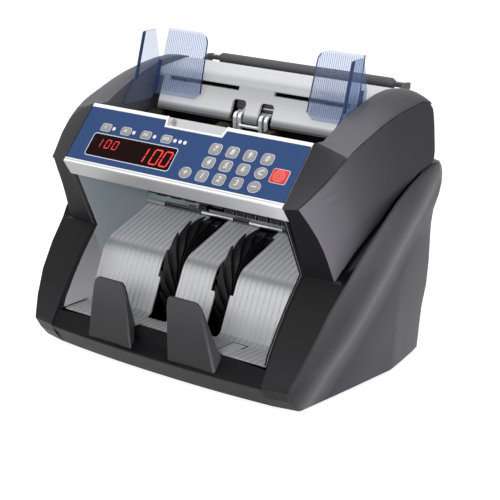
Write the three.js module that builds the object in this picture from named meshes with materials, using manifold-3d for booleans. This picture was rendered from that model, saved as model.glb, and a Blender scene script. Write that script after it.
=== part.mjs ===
// Desktop banknote counting machine. Millimetres, +Z up, front towards -Y.
// Notes stand in the hopper at the top, run down behind the control panel and are laid in the
// open pocket at the front by two fan wheels.
import * as THREE from "three";
import { mergeVertices } from "three/addons/utils/BufferGeometryUtils.js";
import Module from "manifold-3d";

const wasm = await Module();
wasm.setup();

// ---------------------------------------------------------------- driving dimensions
const clearance = 0.3; // between neighbouring pieces
const wall = 2.4; // moulded wall thickness
const footHeight = 2.5;
const sideOuter = 145; // half the width over the upper shells; the skirts below flare past it
const sideInner = 114.6; // inner face of the side mouldings
const frontReach = 30.8; // the note stops reach this far in front of the panel's lower edge
const rearReach = 185.95; // and the rear cover this far behind it

// control panel: its upper edge, its slope and the drop of the chin below it
const panelTop = { y: 37.8, z: 204.7 };
const panelLength = 58.5;
const panelSlope = 47.6 * (Math.PI / 180);
const panelHalfWidth = 116.5;
const panelThick = 2.6;
const chinTip = { y: 6.9, z: 148.9 };
const overlayTop = 3.4; // slope distances of the coloured overlay
const overlayBottom = 54.4;
const fingerNotch = { halfTop: 32, halfBottom: 29, depth: 8.4 };

// keys: distances are from the panel's centre line and down its slope
const keyPitch = { across: 17.6, down: 12.6 };
const keypadOrigin = { across: 30, down: 21 };
const keySize = { width: 11.6, height: 9.6, corner: 2.6, proud: 1.1 };
const functionKey = { width: 11.4, height: 7, corner: 1.6, first: -89.8, pitch: 22.5, down: 20.7 };
const redKey = { width: 15.8, height: 11.8, corner: 1.4, across: 100.9, down: 33.3 };
const display = { across: -51.9, down: 37.8, width: 92.4, height: 20.6, corner: 2 };
const boardDepth = 7.4; // control board's top below the panel face

// hopper
const hopperHalfWidth = 104;
const hopperFoot = { y: 103.5, z: 193 };
const hopperLean = 0.41; // rearward run for each millimetre of height
const hopperShoulder = { y: 116, z: 222.4 };
const flangeRear = { y: 158, z: 227.4 };
const guideSlot = { z: 217.5, height: 3.6, inner: 19, outer: 97 };
const rollerWindow = { inner: 7.5, outer: 22.3, top: 209 };

// note guides
const guide = { inner: 57.6, plate: 106, outer: 112, bottom: 203, top: 259, thick: 1.8 };
const guideFoot = 104.8; // the rear plate's face at its foot, and its rearward run per millimetre of height
const guideLean = 0.29;

// stacker pocket
const pocketHalfWidth = 109.6;
const pocketFloor = 33.6;
const wheelSlot = { inner: 17.3, outer: 41.4, top: 93.5, step: 66, narrow: 38.4 };
const ribPitch = 5.7;
const wheel = { y: 76.4, z: 58.2, radius: 50.2, hub: 12, width: 12, centre: 30 };
const blade = { count: 17, sweep: 2.5, root: 2, tip: 1, firstTip: 142 * (Math.PI / 180) };
const stop = { inner: 20, outer: 70, base: 21, top: 79 };

// shafts
const feedAxis = { y: 101, z: 176.4, roller: 13 };
const pickupAxis = { y: 70, z: 180, roller: 12 };
const motorAxis = { y: 142, z: 48 };
const shaftRadius = 4;
const motorPulley = { radius: 8, feedLane: -103, stackerLane: -91.5 };
const feedPulleyRadius = 12;
const stackerPulleyRadius = 20;
const beltThick = 1.6;
const beltWidth = 6;

// rear
const handle = { y: 180, z: 225.3, grip: 5, half: 92, pivotY: 163, pivotZ: 213, armX: 107 };
const inlet = { x: 70, z: 34, width: 27, height: 20 };
const rocker = { x: 36, z: 34, width: 13, height: 19 };
const foot = { x: 98, front: 4, rear: 158, radius: 9 };

// ---------------------------------------------------------------- materials
const finish = (color, roughness, more) => new THREE.MeshStandardMaterial({ color, roughness, ...more });
const plastic = (color, roughness) => finish(color, roughness, { metalness: 0 });
const metal = (color, roughness) => finish(color, roughness, { metalness: 1 });
const finishes = {
  charcoal: plastic("#38373b", 0.45),
  greyCap: plastic("#6f6d73", 0.4),
  black: plastic("#1d1b1d", 0.5),
  liner: plastic("#747d82", 0.5),
  silver: plastic("#d8d8d8", 0.3),
  overlay: plastic("#3d517f", 0.45),
  key: plastic("#8a8888", 0.55),
  redKey: plastic("#c8302c", 0.5),
  smoke: plastic("#1a0705", 0.15),
  ribbed: metal("#b8b8bc", 0.35),
  chrome: metal("#e8e8e8", 0.12),
  stop: plastic("#454446", 0.5),
  guide: finish("#9fb4d0", 0.1, { transparent: true, opacity: 0.45 }),
  rubber: plastic("#202020", 0.9),
  steel: metal("#9a9c9e", 0.4),
  board: plastic("#1f5a38", 0.6),
  copper: metal("#b26b3c", 0.4),
};

// ---------------------------------------------------------------- shape tools
const lerp = THREE.MathUtils.lerp;
const clamp01 = (t) => Math.min(1, Math.max(0, t));

// A smooth function through hand-set [at, value] pairs, flat past its ends and never overshooting.
function through(pairs) {
  const slopes = pairs.map((p, i) => {
    if (i === 0 || i === pairs.length - 1) return null;
    const before = (p[1] - pairs[i - 1][1]) / (p[0] - pairs[i - 1][0]);
    const after = (pairs[i + 1][1] - p[1]) / (pairs[i + 1][0] - p[0]);
    return before * after <= 0 ? 0 : (2 * before * after) / (before + after);
  });
  const chord = (i) => (pairs[i + 1][1] - pairs[i][1]) / (pairs[i + 1][0] - pairs[i][0]);
  slopes[0] = chord(0);
  slopes[pairs.length - 1] = chord(pairs.length - 2);
  return (at) => {
    if (at <= pairs[0][0]) return pairs[0][1];
    const i = pairs.findIndex((p, k) => k < pairs.length - 1 && at <= pairs[k + 1][0]);
    if (i < 0) return pairs[pairs.length - 1][1];
    const span = pairs[i + 1][0] - pairs[i][0];
    const t = (at - pairs[i][0]) / span;
    const h = (1 - t) * (1 - t);
    return (
      (1 + 2 * t) * h * pairs[i][1] +
      t * h * span * slopes[i] +
      t * t * (3 - 2 * t) * pairs[i + 1][1] +
      t * t * (t - 1) * span * slopes[i + 1]
    );
  };
}

// A closed solid through matching loops of [x, y, z] points, capped at its first and last loop.
function loft(loops) {
  const count = loops[0].length;
  const points = loops.flat();
  const faces = [];
  for (let k = 0; k < loops.length - 1; k++)
    for (let i = 0; i < count; i++) {
      const j = (i + 1) % count;
      const [a, b, c, d] = [k * count + i, k * count + j, (k + 1) * count + j, (k + 1) * count + i];
      faces.push([a, b, c], [a, c, d]);
    }
  const edges = ([a, b, c]) => [a + ">" + b, b + ">" + c, c + ">" + a];
  const walled = new Set(faces.flatMap(edges));
  for (const k of [0, loops.length - 1]) {
    const cap = capFaces(loops[k]).map((face) => face.map((i) => i + k * count));
    const sameWay = cap.some((face) => edges(face).some((edge) => walled.has(edge)));
    cap.forEach(([a, b, c]) => faces.push(sameWay ? [a, c, b] : [a, b, c]));
  }
  return solidOf(points, faces);
}

function capFaces(loop) {
  const normal = new THREE.Vector3();
  loop.forEach((p, i) => {
    const q = loop[(i + 1) % loop.length];
    normal.x += (p[1] - q[1]) * (p[2] + q[2]);
    normal.y += (p[2] - q[2]) * (p[0] + q[0]);
    normal.z += (p[0] - q[0]) * (p[1] + q[1]);
  });
  const size = normal.toArray().map(Math.abs);
  const drop = size.indexOf(Math.max(...size));
  const flat = loop.map((p) => new THREE.Vector2(...p.filter((_, axis) => axis !== drop)));
  const faces = THREE.ShapeUtils.triangulateShape(flat, []);
  if (faces.length === loop.length - 2) return faces;
  // Points in one line are bowed out a hair so that the triangulation keeps every one of them.
  const area = THREE.ShapeUtils.area(flat);
  const bowed = flat.map((p, i) => {
    const before = flat[(i + flat.length - 1) % flat.length];
    const after = flat[(i + 1) % flat.length];
    const across = new THREE.Vector2(after.y - before.y, before.x - after.x).normalize();
    return p.clone().addScaledVector(across, Math.sign(area) * 1e-4 * (1 + (i % 3)));
  });
  const kept = THREE.ShapeUtils.triangulateShape(bowed, []);
  if (kept.length !== loop.length - 2) throw new Error("a cap crosses itself: " + JSON.stringify(loop));
  return kept;
}

function solidOf(points, faces) {
  const volume = faces.reduce((sum, [a, b, c]) => {
    const [p, q, r] = [points[a], points[b], points[c]];
    return (
      sum +
      p[0] * (q[1] * r[2] - q[2] * r[1]) +
      p[1] * (q[2] * r[0] - q[0] * r[2]) +
      p[2] * (q[0] * r[1] - q[1] * r[0])
    );
  }, 0);
  const turned = volume < 0 ? faces.map(([a, b, c]) => [a, c, b]) : faces;
  const geometry = new THREE.BufferGeometry();
  geometry.setAttribute("position", new THREE.Float32BufferAttribute(points.flat(), 3));
  geometry.setIndex(turned.flat());
  return toSolid(geometry);
}

function toSolid(geometry) {
  const bare = geometry.clone();
  bare.deleteAttribute("normal");
  bare.deleteAttribute("uv");
  const merged = mergeVertices(bare, 1e-4);
  return new wasm.Manifold(
    new wasm.Mesh({
      numProp: 3,
      vertProperties: new Float32Array(merged.attributes.position.array),
      triVerts: new Uint32Array(merged.index.array),
    }),
  );
}

function toGeometry(solid) {
  const mesh = solid.getMesh();
  const geometry = new THREE.BufferGeometry();
  geometry.setAttribute("position", new THREE.Float32BufferAttribute(mesh.vertProperties, 3));
  geometry.setIndex(Array.from(mesh.triVerts));
  const faceted = geometry.toNonIndexed();
  faceted.computeVertexNormals();
  return faceted;
}

const join = (...solids) => solids.flat().reduce((a, b) => a.add(b));
const cut = (solid, ...tools) => tools.flat().reduce((a, b) => a.subtract(b), solid);
const mirrored = (solid) => solid.mirror([1, 0, 0]);
// The main body of a cut solid, without the slivers a cut can leave.
const largest = (solid) => solid.decompose().reduce((a, b) => (b.volume() > a.volume() ? b : a));

// Extrusions of a closed outline: along X from [y, z] points, along Z from [x, y] points.
function extrude(outline, depth, bevel = 0) {
  const shape = new THREE.Shape(outline.map(([a, b]) => new THREE.Vector2(a, b)));
  return new THREE.ExtrudeGeometry(shape, {
    depth: depth - 2 * bevel,
    bevelEnabled: bevel > 0,
    bevelThickness: bevel,
    bevelSize: bevel,
    bevelOffset: -bevel,
    bevelSegments: 1,
    curveSegments: 6,
  }).translate(0, 0, bevel);
}
const axesYZX = new THREE.Matrix4().makeBasis(
  new THREE.Vector3(0, 1, 0),
  new THREE.Vector3(0, 0, 1),
  new THREE.Vector3(1, 0, 0),
);
const alongX = (outline, x0, x1, bevel = 0) =>
  toSolid(extrude(outline, x1 - x0, bevel).applyMatrix4(axesYZX).translate(x0, 0, 0));
const alongZ = (outline, z0, z1) => toSolid(extrude(outline, z1 - z0).translate(0, 0, z0));
function block(x0, x1, y0, y1, z0, z1) {
  const box = new THREE.BoxGeometry(x1 - x0, y1 - y0, z1 - z0);
  return toSolid(box.translate((x0 + x1) / 2, (y0 + y1) / 2, (z0 + z1) / 2));
}
const rod = (radius, x0, x1, y, z, sides = 16) =>
  toSolid(
    new THREE.CylinderGeometry(radius, radius, x1 - x0, sides)
      .rotateZ(Math.PI / 2)
      .translate((x0 + x1) / 2, y, z),
  );
// A turned piece along X: [x, radius] pairs between its two ends on the axis.
function turned(profile, y, z, sides = 12) {
  const ends = [[profile[0][0], 0], ...profile, [profile[profile.length - 1][0], 0]];
  const points = ends.map(([x, radius]) => new THREE.Vector2(radius, x));
  return toSolid(new THREE.LatheGeometry(points, sides).rotateZ(-Math.PI / 2).translate(0, y, z));
}

function roundedRect(width, height, radius, steps = 1) {
  const points = [];
  const corners = [
    [1, 1, 0],
    [-1, 1, 1],
    [-1, -1, 2],
    [1, -1, 3],
  ];
  for (const [sx, sy, quarter] of corners)
    for (let i = 0; i <= steps; i++) {
      const angle = (quarter + i / steps) * (Math.PI / 2);
      points.push([
        sx * (width / 2 - radius) + radius * Math.cos(angle),
        sy * (height / 2 - radius) + radius * Math.sin(angle),
      ]);
    }
  return points;
}
function ellipse(width, height, sides = 12) {
  return Array.from({ length: sides }, (_, i) => {
    const angle = (2 * Math.PI * i) / sides;
    return [(width / 2) * Math.cos(angle), (height / 2) * Math.sin(angle)];
  });
}

// Panel frame: X across, Y up the slope from the panel's upper edge, Z out of its face.
const upSlope = new THREE.Vector3(0, Math.cos(panelSlope), Math.sin(panelSlope));
const panelNormal = new THREE.Vector3(0, -Math.sin(panelSlope), Math.cos(panelSlope));
const panelFrame = new THREE.Matrix4()
  .makeBasis(new THREE.Vector3(1, 0, 0), upSlope, panelNormal)
  .setPosition(0, panelTop.y, panelTop.z);
const onPanel = (outline, across, down, low, high, bevel = 0) =>
  toSolid(extrude(outline, high - low, bevel).translate(across, -down, low).applyMatrix4(panelFrame));
const panelPoint = (down, out = 0) => [
  panelTop.y - down * Math.cos(panelSlope) - out * Math.sin(panelSlope),
  panelTop.z - down * Math.sin(panelSlope) + out * Math.cos(panelSlope),
];

const machine = new THREE.Group();
machine.position.y = (frontReach - rearReach) / 2;
function add(name, solid, material) {
  const mesh = new THREE.Mesh(toGeometry(solid), material);
  mesh.name = name;
  machine.add(mesh);
  return solid;
}

// ---------------------------------------------------------------- side outlines
// Seen from above, the sides flare from the tips beside the panel to their full width.
const flare = through([
  [-24, 139],
  [0, 130.5 + 9],
  [20, 142.5],
  [45, 144.6],
  [70, sideOuter],
]);
const tipFlare = through([
  [0, 130.5],
  [12, 136.4],
  [31, 142.6],
  [50, 144.4],
  [70, sideOuter],
]);
// Upper side shell: its front edge, and the groove line that parts it from the skirt.
const tipHeight = 163.2;
const shellFoot = 99.6;
const shellFrontLow = through([
  [shellFoot, 31.2],
  [132, 18.3],
  [tipHeight, 0],
]);
const shellFrontHigh = through([
  [tipHeight, 0],
  [184.3, 27],
  [201.1, 53.1],
  [208.6, 73.8],
  [214.9, 92.7],
  [219.4, 112.5],
  [222.1, 132.3],
  [223.6, 145],
]);
const shellFront = (z) => (z < tipHeight ? shellFrontLow(z) : shellFrontHigh(z)); // a sharp tip between the two
const grooveRear = through([
  [98.8, 32.4],
  [113.2, 52.2],
  [127.6, 77.4],
  [137.5, 96.3],
  [150.1, 116.1],
  [159.1, 135.9],
  [167.2, 156.6],
  [169.9, 171],
]);
const shellUpperRear = through([
  [169.9, 171],
  [201, 168],
  [213, 165.6],
  [218.5, 161.1],
  [222.5, 154],
  [223.4, 151],
]);
const shellRear = (z) => (z < 169.9 ? grooveRear(z) : shellUpperRear(z));
const innerLip = through([
  [shellFoot, 29.3],
  [chinTip.z, chinTip.y],
  [161.5, -1.6],
]);

// Seam between cap and shell, and the cap's inner edge beside the panel and hopper.
const seamHeight = through([
  [0, tipHeight],
  [27, 184.3],
  [53.1, 201.1],
  [73.8, 208.6],
  [92.7, 214.9],
  [112.5, 219.4],
  [132.3, 222.1],
  [145, 223.6],
  [153, 222.6],
  [160, 219.4],
]);
const capInnerHeight = through([
  [38, 204.7],
  [50, 203],
  [60, 207.4],
  [74, 214],
  [90, 220],
  [107, 225.6],
  [121, 229],
  [135, 230.4],
  [148, 229.6],
  [160, 227.6],
]);
const panelHeight = (y) => panelTop.z + (y - panelTop.y) * Math.tan(panelSlope);

// ---------------------------------------------------------------- side pieces, the left ones mirrored
const capEdge = 1.1; // thickness of the cap's outer edge at the seam
const capStations = [-1.3, 8, 20, 32, 37.9, 43.5, 44.1, 52, 62, 74, 88, 104, 120, 136, 148, 156, 160];
// The cap is a crowned band with a wall down beside the hopper. Grown, it is its own seat in the shell.
function sideCap(grow = 0) {
  const loops = capStations.map((y) => {
    const capThick = lerp(1.3, 3, clamp01((y + 1.3) / 30)) + grow;
    const outer = tipFlare(Math.max(y, 0)) - 0.2 + grow * 2;
    const inner = (y < 44 ? 116.9 : 115.2) - grow;
    const zi = y <= 38 ? panelHeight(y) : capInnerHeight(y);
    const zo = seamHeight(Math.max(y, 0));
    const crown = 2.6 * clamp01((y - 45) / 60) + grow * 12;
    const wallFoot = (y > 44 ? 187 : zi - capThick - 0.6) - grow;
    const at = (t, lift) => [lerp(inner, outer, t), y, lerp(zi, zo, t) + lift];
    return [
      at(0, 0),
      at(0.25, crown * 0.75),
      at(0.5, crown),
      at(0.75, crown * 0.75),
      at(0.95, crown * 0.2),
      [outer, y, zo - capEdge * 0.4],
      [outer - 0.2, y, zo - capEdge - grow],
      at(0.5, Math.max(0, crown - grow * 12) * 0.5 - capThick),
      [inner + wall + grow * 2, y, zi - capThick - 0.2],
      [inner + wall + grow * 2, y, wallFoot],
      [inner, y, wallFoot],
    ];
  });
  return loft(loops);
}

const cap = sideCap();

// One horizontal slice of the upper side shell, drawn in by inset for its hollow.
function shellSlice(z, inset) {
  const rise = clamp01((z - shellFoot) / (chinTip.z - shellFoot));
  const inside = z < 161 ? lerp(sideInner, 116.9, rise) : lerp(117.1, 118.4, clamp01((z - 161) / 8));
  const seam = z + capEdge + clearance;
  const front = z < tipHeight ? shellFront(z) : shellFront(seam);
  const back = shellRear(z);
  const under = z - panelTop.z + 3.6;
  const lip = z < 161.5 ? innerLip(z) : z < 200 ? panelTop.y + under / Math.tan(panelSlope) : front;
  const y0 = front + inset * 1.5;
  const y1 = back - inset * 1.5;
  const innerFront = lip + inset * 1.5;
  const side = [0, 0.06, 0.16, 0.32, 0.55, 0.8];
  const outer = side.map((t) => {
    const y = lerp(y0, y1, t);
    return [tipFlare(y) - inset - 0.2, y, z];
  });
  if (inset) {
    const reach = outer.filter((_, k) => k !== 1 && k !== 3);
    return [[inside - 3, innerFront, z], ...reach, [tipFlare(y1) - inset, y1, z], [inside - 3, y1, z]];
  }
  const endX = tipFlare(y1) - inset - 0.2;
  const corner = Math.min(4, (y1 - y0) * 0.18);
  return [
    [inside, innerFront, z],
    [lerp(inside, outer[0][0], 0.96), lerp(innerFront, y0, 0.96) - 0.25, z],
    ...outer,
    [endX, y1 - corner, z],
    [endX - corner * 0.3, y1 - corner * 0.3, z],
    [endX - corner, y1, z],
    [inside, y1, z],
  ];
}
const shellLevels = [99.9, 107, 116, 126, 137, 149, 158, 162.4, 164, 166.4, 169.6];
shellLevels.push(178, 188, 199, 207.3, 213.6, 218, 220.4, 221.8);
function sideShell() {
  const body = loft(shellLevels.map((z) => shellSlice(z, 0)));
  const hollow = loft([112, 126, 140, 155, 164, 178, 194, 211].map((z) => shellSlice(z, wall)));
  return largest(cut(body, hollow, sideCap(clearance)));
}

// Lower side skirt with the front leg.
const legInner = through([
  [footHeight, -11.9],
  [21.1, -24.8],
  [26.8, -22.5],
  [40.3, -14.4],
  [61, -0.9],
  [78.1, 11.7],
  [98.8, 30.2],
]);
// The leg's outer edge: how far back it stands and how far out, at each height.
const legOuter = through([
  [footHeight, -6.7],
  [22.8, -20.8],
  [30, -18],
  [40, -12.4],
  [60, -0.4],
  [80.3, 14.4],
  [98, 30.7],
  [110, 40.3],
  [118, 49.1],
  [125, 59],
  [138, 80.6],
  [148, 102.6],
  [157, 126.5],
  [162.5, 146.4],
  [168.4, 172],
]);
const legOuterX = through([
  [footHeight, 139],
  [22.8, 139],
  [40, 143.9],
  [60, 148.6],
  [80.3, 151.2],
  [98, 153.7],
  [110, 156],
  [118, 156.5],
  [125, 156.3],
  [138, 154.5],
  [148, 151],
  [157, 148],
  [162.5, 145.5],
  [168.4, 142.5],
]);
const skirtRear = through([
  [footHeight, 171],
  [50, 173.5],
  [80, 177],
  [115, 178.5],
  [131, 181.5],
  [145, 185],
  [157, 186],
  [164, 184],
  [168.4, 179],
]);
const skirtRearX = through([
  [footHeight, 133],
  [45, 136],
  [62, 138.4],
  [110, 138.6],
  [125, 139.4],
  [140, 141],
  [155, 142],
  [168.4, 141],
]);
const creaseY = through([
  [footHeight, 112],
  [50, 117],
  [85, 125],
  [107, 138.6],
  [118, 150],
  [136, 172],
  [145, 178],
  [168.4, 174],
]);
const grooveGap = 2.4;
const skirtLedge = 98.8; // above this height the skirt wraps round the outside of the shell's foot
function skirtSlice(z, inset) {
  const below = z < skirtLedge;
  const lower = below ? legInner(z) : grooveRear(z) + grooveGap;
  const innerFront = lower + inset * 1.4;
  const outerFront = (below ? Math.max(legOuter(z), lower + 0.5) : legOuter(z)) + inset * 1.4;
  const edgeX = legOuterX(z) - inset;
  const rear = skirtRear(z) - inset;
  const crease = Math.min(creaseY(z), rear - 4) - inset;
  const creaseX = flare(crease) - inset;
  const rearX = skirtRearX(z) - inset;
  const middle = [lerp(edgeX, creaseX, 0.56), lerp(outerFront + 2.6, crease - 3, 0.5), z];
  if (inset)
    return [
      [sideInner - 3, innerFront, z],
      below ? [edgeX - 1, outerFront, z] : [Math.min(sideOuter, edgeX - 1), innerFront, z],
      middle,
      [creaseX, crease - 3, z],
      [rearX - 1, rear - 1, z],
      [sideInner - 3, rear, z],
    ];
  return [
    [sideInner, innerFront, z],
    below
      ? [edgeX - 4, lerp(innerFront, outerFront, 0.86), z]
      : [Math.min(sideOuter + 1.2, edgeX - 1.6), innerFront + 0.2, z],
    [edgeX - 0.7, outerFront - 0.2, z],
    [edgeX, outerFront + 2.6, z],
    middle,
    [creaseX - 0.1, crease - 3, z],
    [lerp(creaseX, rearX, 0.12), lerp(crease, rear, 0.1), z],
    [lerp(creaseX, rearX, 0.75), lerp(crease, rear, 0.72), z],
    [rearX - 0.6, rear - 2.4, z],
    [rearX - 4, rear, z],
    [sideInner, rear, z],
  ];
}
const skirtLevels = [footHeight, 12, 21.1, 22.8, 27.5, 40, 60, 80, 98.4, 99.2];
skirtLevels.push(105, 112, 125, 138, 148, 157, 162.5, 167.4);
function sideSkirt() {
  const body = loft(skirtLevels.map((z) => skirtSlice(z, 0)));
  const hollow = loft([6, 22, 40, 61, 80, 98.8, 112, 125, 138, 153].map((z) => skirtSlice(z, wall)));
  return cut(body, hollow);
}

const shell = sideShell();
const skirt = sideSkirt();
for (const [side, place] of [["right", (s) => s], ["left", mirrored]]) {
  add("side_cap_" + side, place(cap), finishes.greyCap);
  add("side_shell_" + side, place(shell), finishes.charcoal);
  add("side_skirt_" + side, place(skirt), finishes.charcoal);
}

// ---------------------------------------------------------------- base
const baseHalf = sideInner - clearance;
const lipHeight = 21.9;
const lipEdge = (x) => -29.9 + 5 * Math.pow(Math.abs(x) / baseHalf, 2.2);
const lipFoot = (x) => -17.1 + 5.4 * Math.pow(Math.abs(x) / baseHalf, 2.2);
const trayEdge = (x) => (Math.abs(x) < 34 ? -2 : -12.4 - 4.6 * clamp01((Math.abs(x) - 70) / 44));
function baseSection(x, hollow) {
  const edge = lipEdge(x);
  const footY = lipFoot(x);
  const back = trayEdge(x);
  const halfWay = [lerp(edge, back, 0.5), lerp(lipHeight, pocketFloor, 0.5) - 0.2];
  const scoop = Math.abs(x) < 34 ? [-13, 25.2] : halfWay;
  const top = pocketFloor - clearance;
  const outer = [
    [x, footY, footHeight],
    [x, edge + 0.5, lipHeight - 2.2],
    [x, edge, lipHeight - 1],
    [x, edge + 0.8, lipHeight],
    [x, scoop[0], scoop[1]],
    [x, back, top],
  ];
  const rear = 174;
  if (!hollow) return [...outer, [x, back + 30, top - 0.5], [x, rear, 8], [x, rear, footHeight]];
  return [
    ...outer,
    [x, back + wall, top - 0.6],
    [x, back + wall, top - wall - 2],
    [x, scoop[0] + 1, scoop[1] - wall - 1],
    [x, edge + wall + 2, lipHeight - wall - 1],
    [x, footY + wall + 1, footHeight + wall],
    [x, rear - 0.5, footHeight + wall + 0.1],
    [x, rear, footHeight],
  ];
}
const halfStations = [16, 33.5, 34.5, 52, 70.5, 92, baseHalf];
const baseStations = [...halfStations.map((x) => -x).reverse(), 0, ...halfStations];
const ventSlots = (x0, count) =>
  Array.from({ length: count }, (_, i) => block(x0 + i * 9, x0 + i * 9 + 4, 70, 110, 0, 8));
// Front line of the pocket's side walls, from the floor up to the panel's chin.
const pocketFront = [
  [-14.4, pocketFloor + 2.2],
  [-11.6, 43],
  [-0.4, 61],
  [12.2, 78.1],
  [29.9, 99.4],
  [chinTip.y + 1.4, chinTip.z - 1.2],
];
// A post on either side of the tray closes the gap between the pocket's wall and the leg.
function pocketPost() {
  const front = [[-15.4, pocketFloor - 3.4], ...pocketFront];
  const rim = front.map(([y, z]) => [y + 3, z]).reverse();
  return alongX([...front, ...rim], pocketHalfWidth + 2 + clearance, baseHalf);
}
const post = pocketPost();
add(
  "base_tray",
  cut(join(loft(baseStations.map((x) => baseSection(x, true))), post, mirrored(post)), ventSlots(-30, 5)),
  finishes.black,
);
const baseFilled = loft(baseStations.map((x) => baseSection(x, false)));

// Two upright stops: flat in front, thin at the top, drawn out to the rear at the foot.
function noteStop() {
  const levels = [stop.base, 30, 40, 50, 60, 70, 76, 78.4, stop.top];
  const rounding = [0, 0, 0, 0, 0, 0, 1.2, 3.2, 5];
  const loops = levels.map((z, k) => {
    const t = (z - stop.base) / (stop.top - stop.base);
    const spread = Math.pow(1 - t, 1.3);
    const inner = stop.inner + 2.6 * t + rounding[k] * 0.8;
    const outer = stop.outer - 12.6 * t - rounding[k];
    const face = -27.4 - 3.2 * t;
    const back = face + 3.4;
    return [
      [inner + 1, face - 0.2, z],
      [outer - 1.5, face + 0.6, z],
      [outer, face + 2, z],
      [outer - 0.6, back + 12.6 * spread, z],
      [lerp(inner, outer, 0.34), back + 22 * spread, z],
      [inner + 13 * spread + 1, back + 22.6 * spread, z],
      [inner, face + 1.2, z],
    ];
  });
  const seat = join(baseFilled.translate([0, 0, clearance]), baseFilled.translate([0, -clearance, 0]));
  return cut(loft(loops), seat, block(0, 90, -15, 20, 10, pocketFloor + 2.4));
}
const rightStop = noteStop();
add("note_stop_right", rightStop, finishes.stop);
add("note_stop_left", mirrored(rightStop), finishes.stop);

// ---------------------------------------------------------------- stacker pocket
// Path of the ribbed plate, rear end first, then its bend and the floor.
const rampTop = [wheelSlot.top + 2.5, 104.6];
const plateThick = 1.4;
function platePath() {
  const curve = new THREE.Path();
  curve.moveTo(...rampTop);
  curve.lineTo(48, 87.6);
  curve.bezierCurveTo(41, 85.2, 37.4, 79.6, 34.8, 74);
  curve.lineTo(18, 37.4);
  curve.lineTo(12.4, pocketFloor + plateThick);
  return curve.getPoints(2).map((p) => [p.x, p.y]);
}
// A strip of plate along a path of [y, z] points, with a section of [x, height over the path] points.
function plateStrip(points, section) {
  const loops = points.map((p, k) => {
    const before = points[Math.max(0, k - 1)];
    const after = points[Math.min(points.length - 1, k + 1)];
    const along = new THREE.Vector2(after[0] - before[0], after[1] - before[1]).normalize();
    const normal = [along.y, -along.x];
    return section.map(([x, out]) => [x, p[0] + normal[0] * out, p[1] + normal[1] * out]);
  });
  return loft(loops);
}
const plainStrip = (points, x0, x1) =>
  plateStrip(points, [
    [x0, -0.02],
    [x1, -0.02],
    [x1, 0.05 - plateThick],
    [x0, 0.05 - plateThick],
  ]);
// Between x0 and x1, flat lands part narrow grooves, so that notes don't cling to the plate.
function ribbedStrip(points, x0, x1) {
  const count = Math.max(1, Math.round((x1 - x0) / ribPitch));
  const pitch = (x1 - x0) / count;
  const top = [];
  for (let i = 0; i < count; i++) {
    const centre = x0 + (i + 0.5) * pitch;
    top.push([centre - 0.6, 0], [centre, -0.6], [centre + 0.6, 0.01]);
  }
  return plateStrip(points, [[x0, 0.01], ...top, [x1, 0.01], [x1, -plateThick], [x0, -plateThick]]);
}
function stackerPlate() {
  const edge = pocketHalfWidth - clearance;
  const lanes = [
    [-edge, -wheelSlot.outer],
    [-wheelSlot.inner, wheelSlot.inner],
    [wheelSlot.outer, edge],
  ];
  const path = platePath();
  const ramp = lanes.map(([x0, x1]) => ribbedStrip(path, x0, x1));
  // Tabs narrow the wheel slots at the foot of the ramp and at its head.
  const footPath = [[31.1, wheelSlot.step], ...path.slice(-2)];
  const headPath = [rampTop, [88, rampTop[1] - (rampTop[0] - 88) * 0.354]];
  const tabs = [
    [footPath, wheelSlot.narrow, wheelSlot.outer],
    [footPath, wheelSlot.inner, 22.4],
    [headPath, wheelSlot.inner, 22.2],
    [headPath, 37.8, wheelSlot.outer],
  ].map(([points, x0, x1]) => plainStrip(points, x0 - 0.3, x1 + 0.3));
  const leftTabs = tabs.filter((_, i) => i !== 1).map(mirrored);
  const rib = alongX(
    [
      [rampTop[0] - 7.2, rampTop[1] - 3.6],
      [rampTop[0] + 0.34, rampTop[1] - 0.94],
      [rampTop[0] + 0.87, rampTop[1] - 2.45],
      [rampTop[0] - 6.7, rampTop[1] - 5.1],
    ],
    wheelSlot.narrow,
    edge,
  );
  const floor = block(-edge, edge, -20, 13, pocketFloor, pocketFloor + plateThick);
  const frontTrim = alongZ(
    [
      [-edge, -16.4],
      [-70, -12.2],
      [-34, -12.2],
      [-33, -1.8],
      [33, -1.8],
      [34, -12.2],
      [70, -12.2],
      [edge, -16.4],
      [edge, -40],
      [-edge, -40],
    ],
    20,
    50,
  );
  return cut(join(ramp, rib, mirrored(rib), tabs, leftTabs, floor), frontTrim);
}
add("stacker_plate", stackerPlate(), finishes.ribbed);

// Liner: both side walls of the pocket and its sloping roof under the panel.
function stackerLiner() {
  const side = [...pocketFront, [30, 145], [103, 116], [103, pocketFloor + 2.2]];
  const right = alongX(side, pocketHalfWidth, pocketHalfWidth + 2);
  const roof = alongX(
    [
      [chinTip.y + 3, chinTip.z - 1.2],
      [30, 142.6],
      [92, 121],
      [92, 123.4],
      [30, 145],
      [chinTip.y + 3, chinTip.z + 1.2],
    ],
    -pocketHalfWidth - 1,
    pocketHalfWidth + 1,
  );
  return join(right, mirrored(right), roof);
}
const shaftHole = (axis) => rod(shaftRadius + 0.5, -120, 120, axis.y, axis.z, 12);
add("stacker_liner", cut(stackerLiner(), shaftHole(wheel)), finishes.liner);

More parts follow.
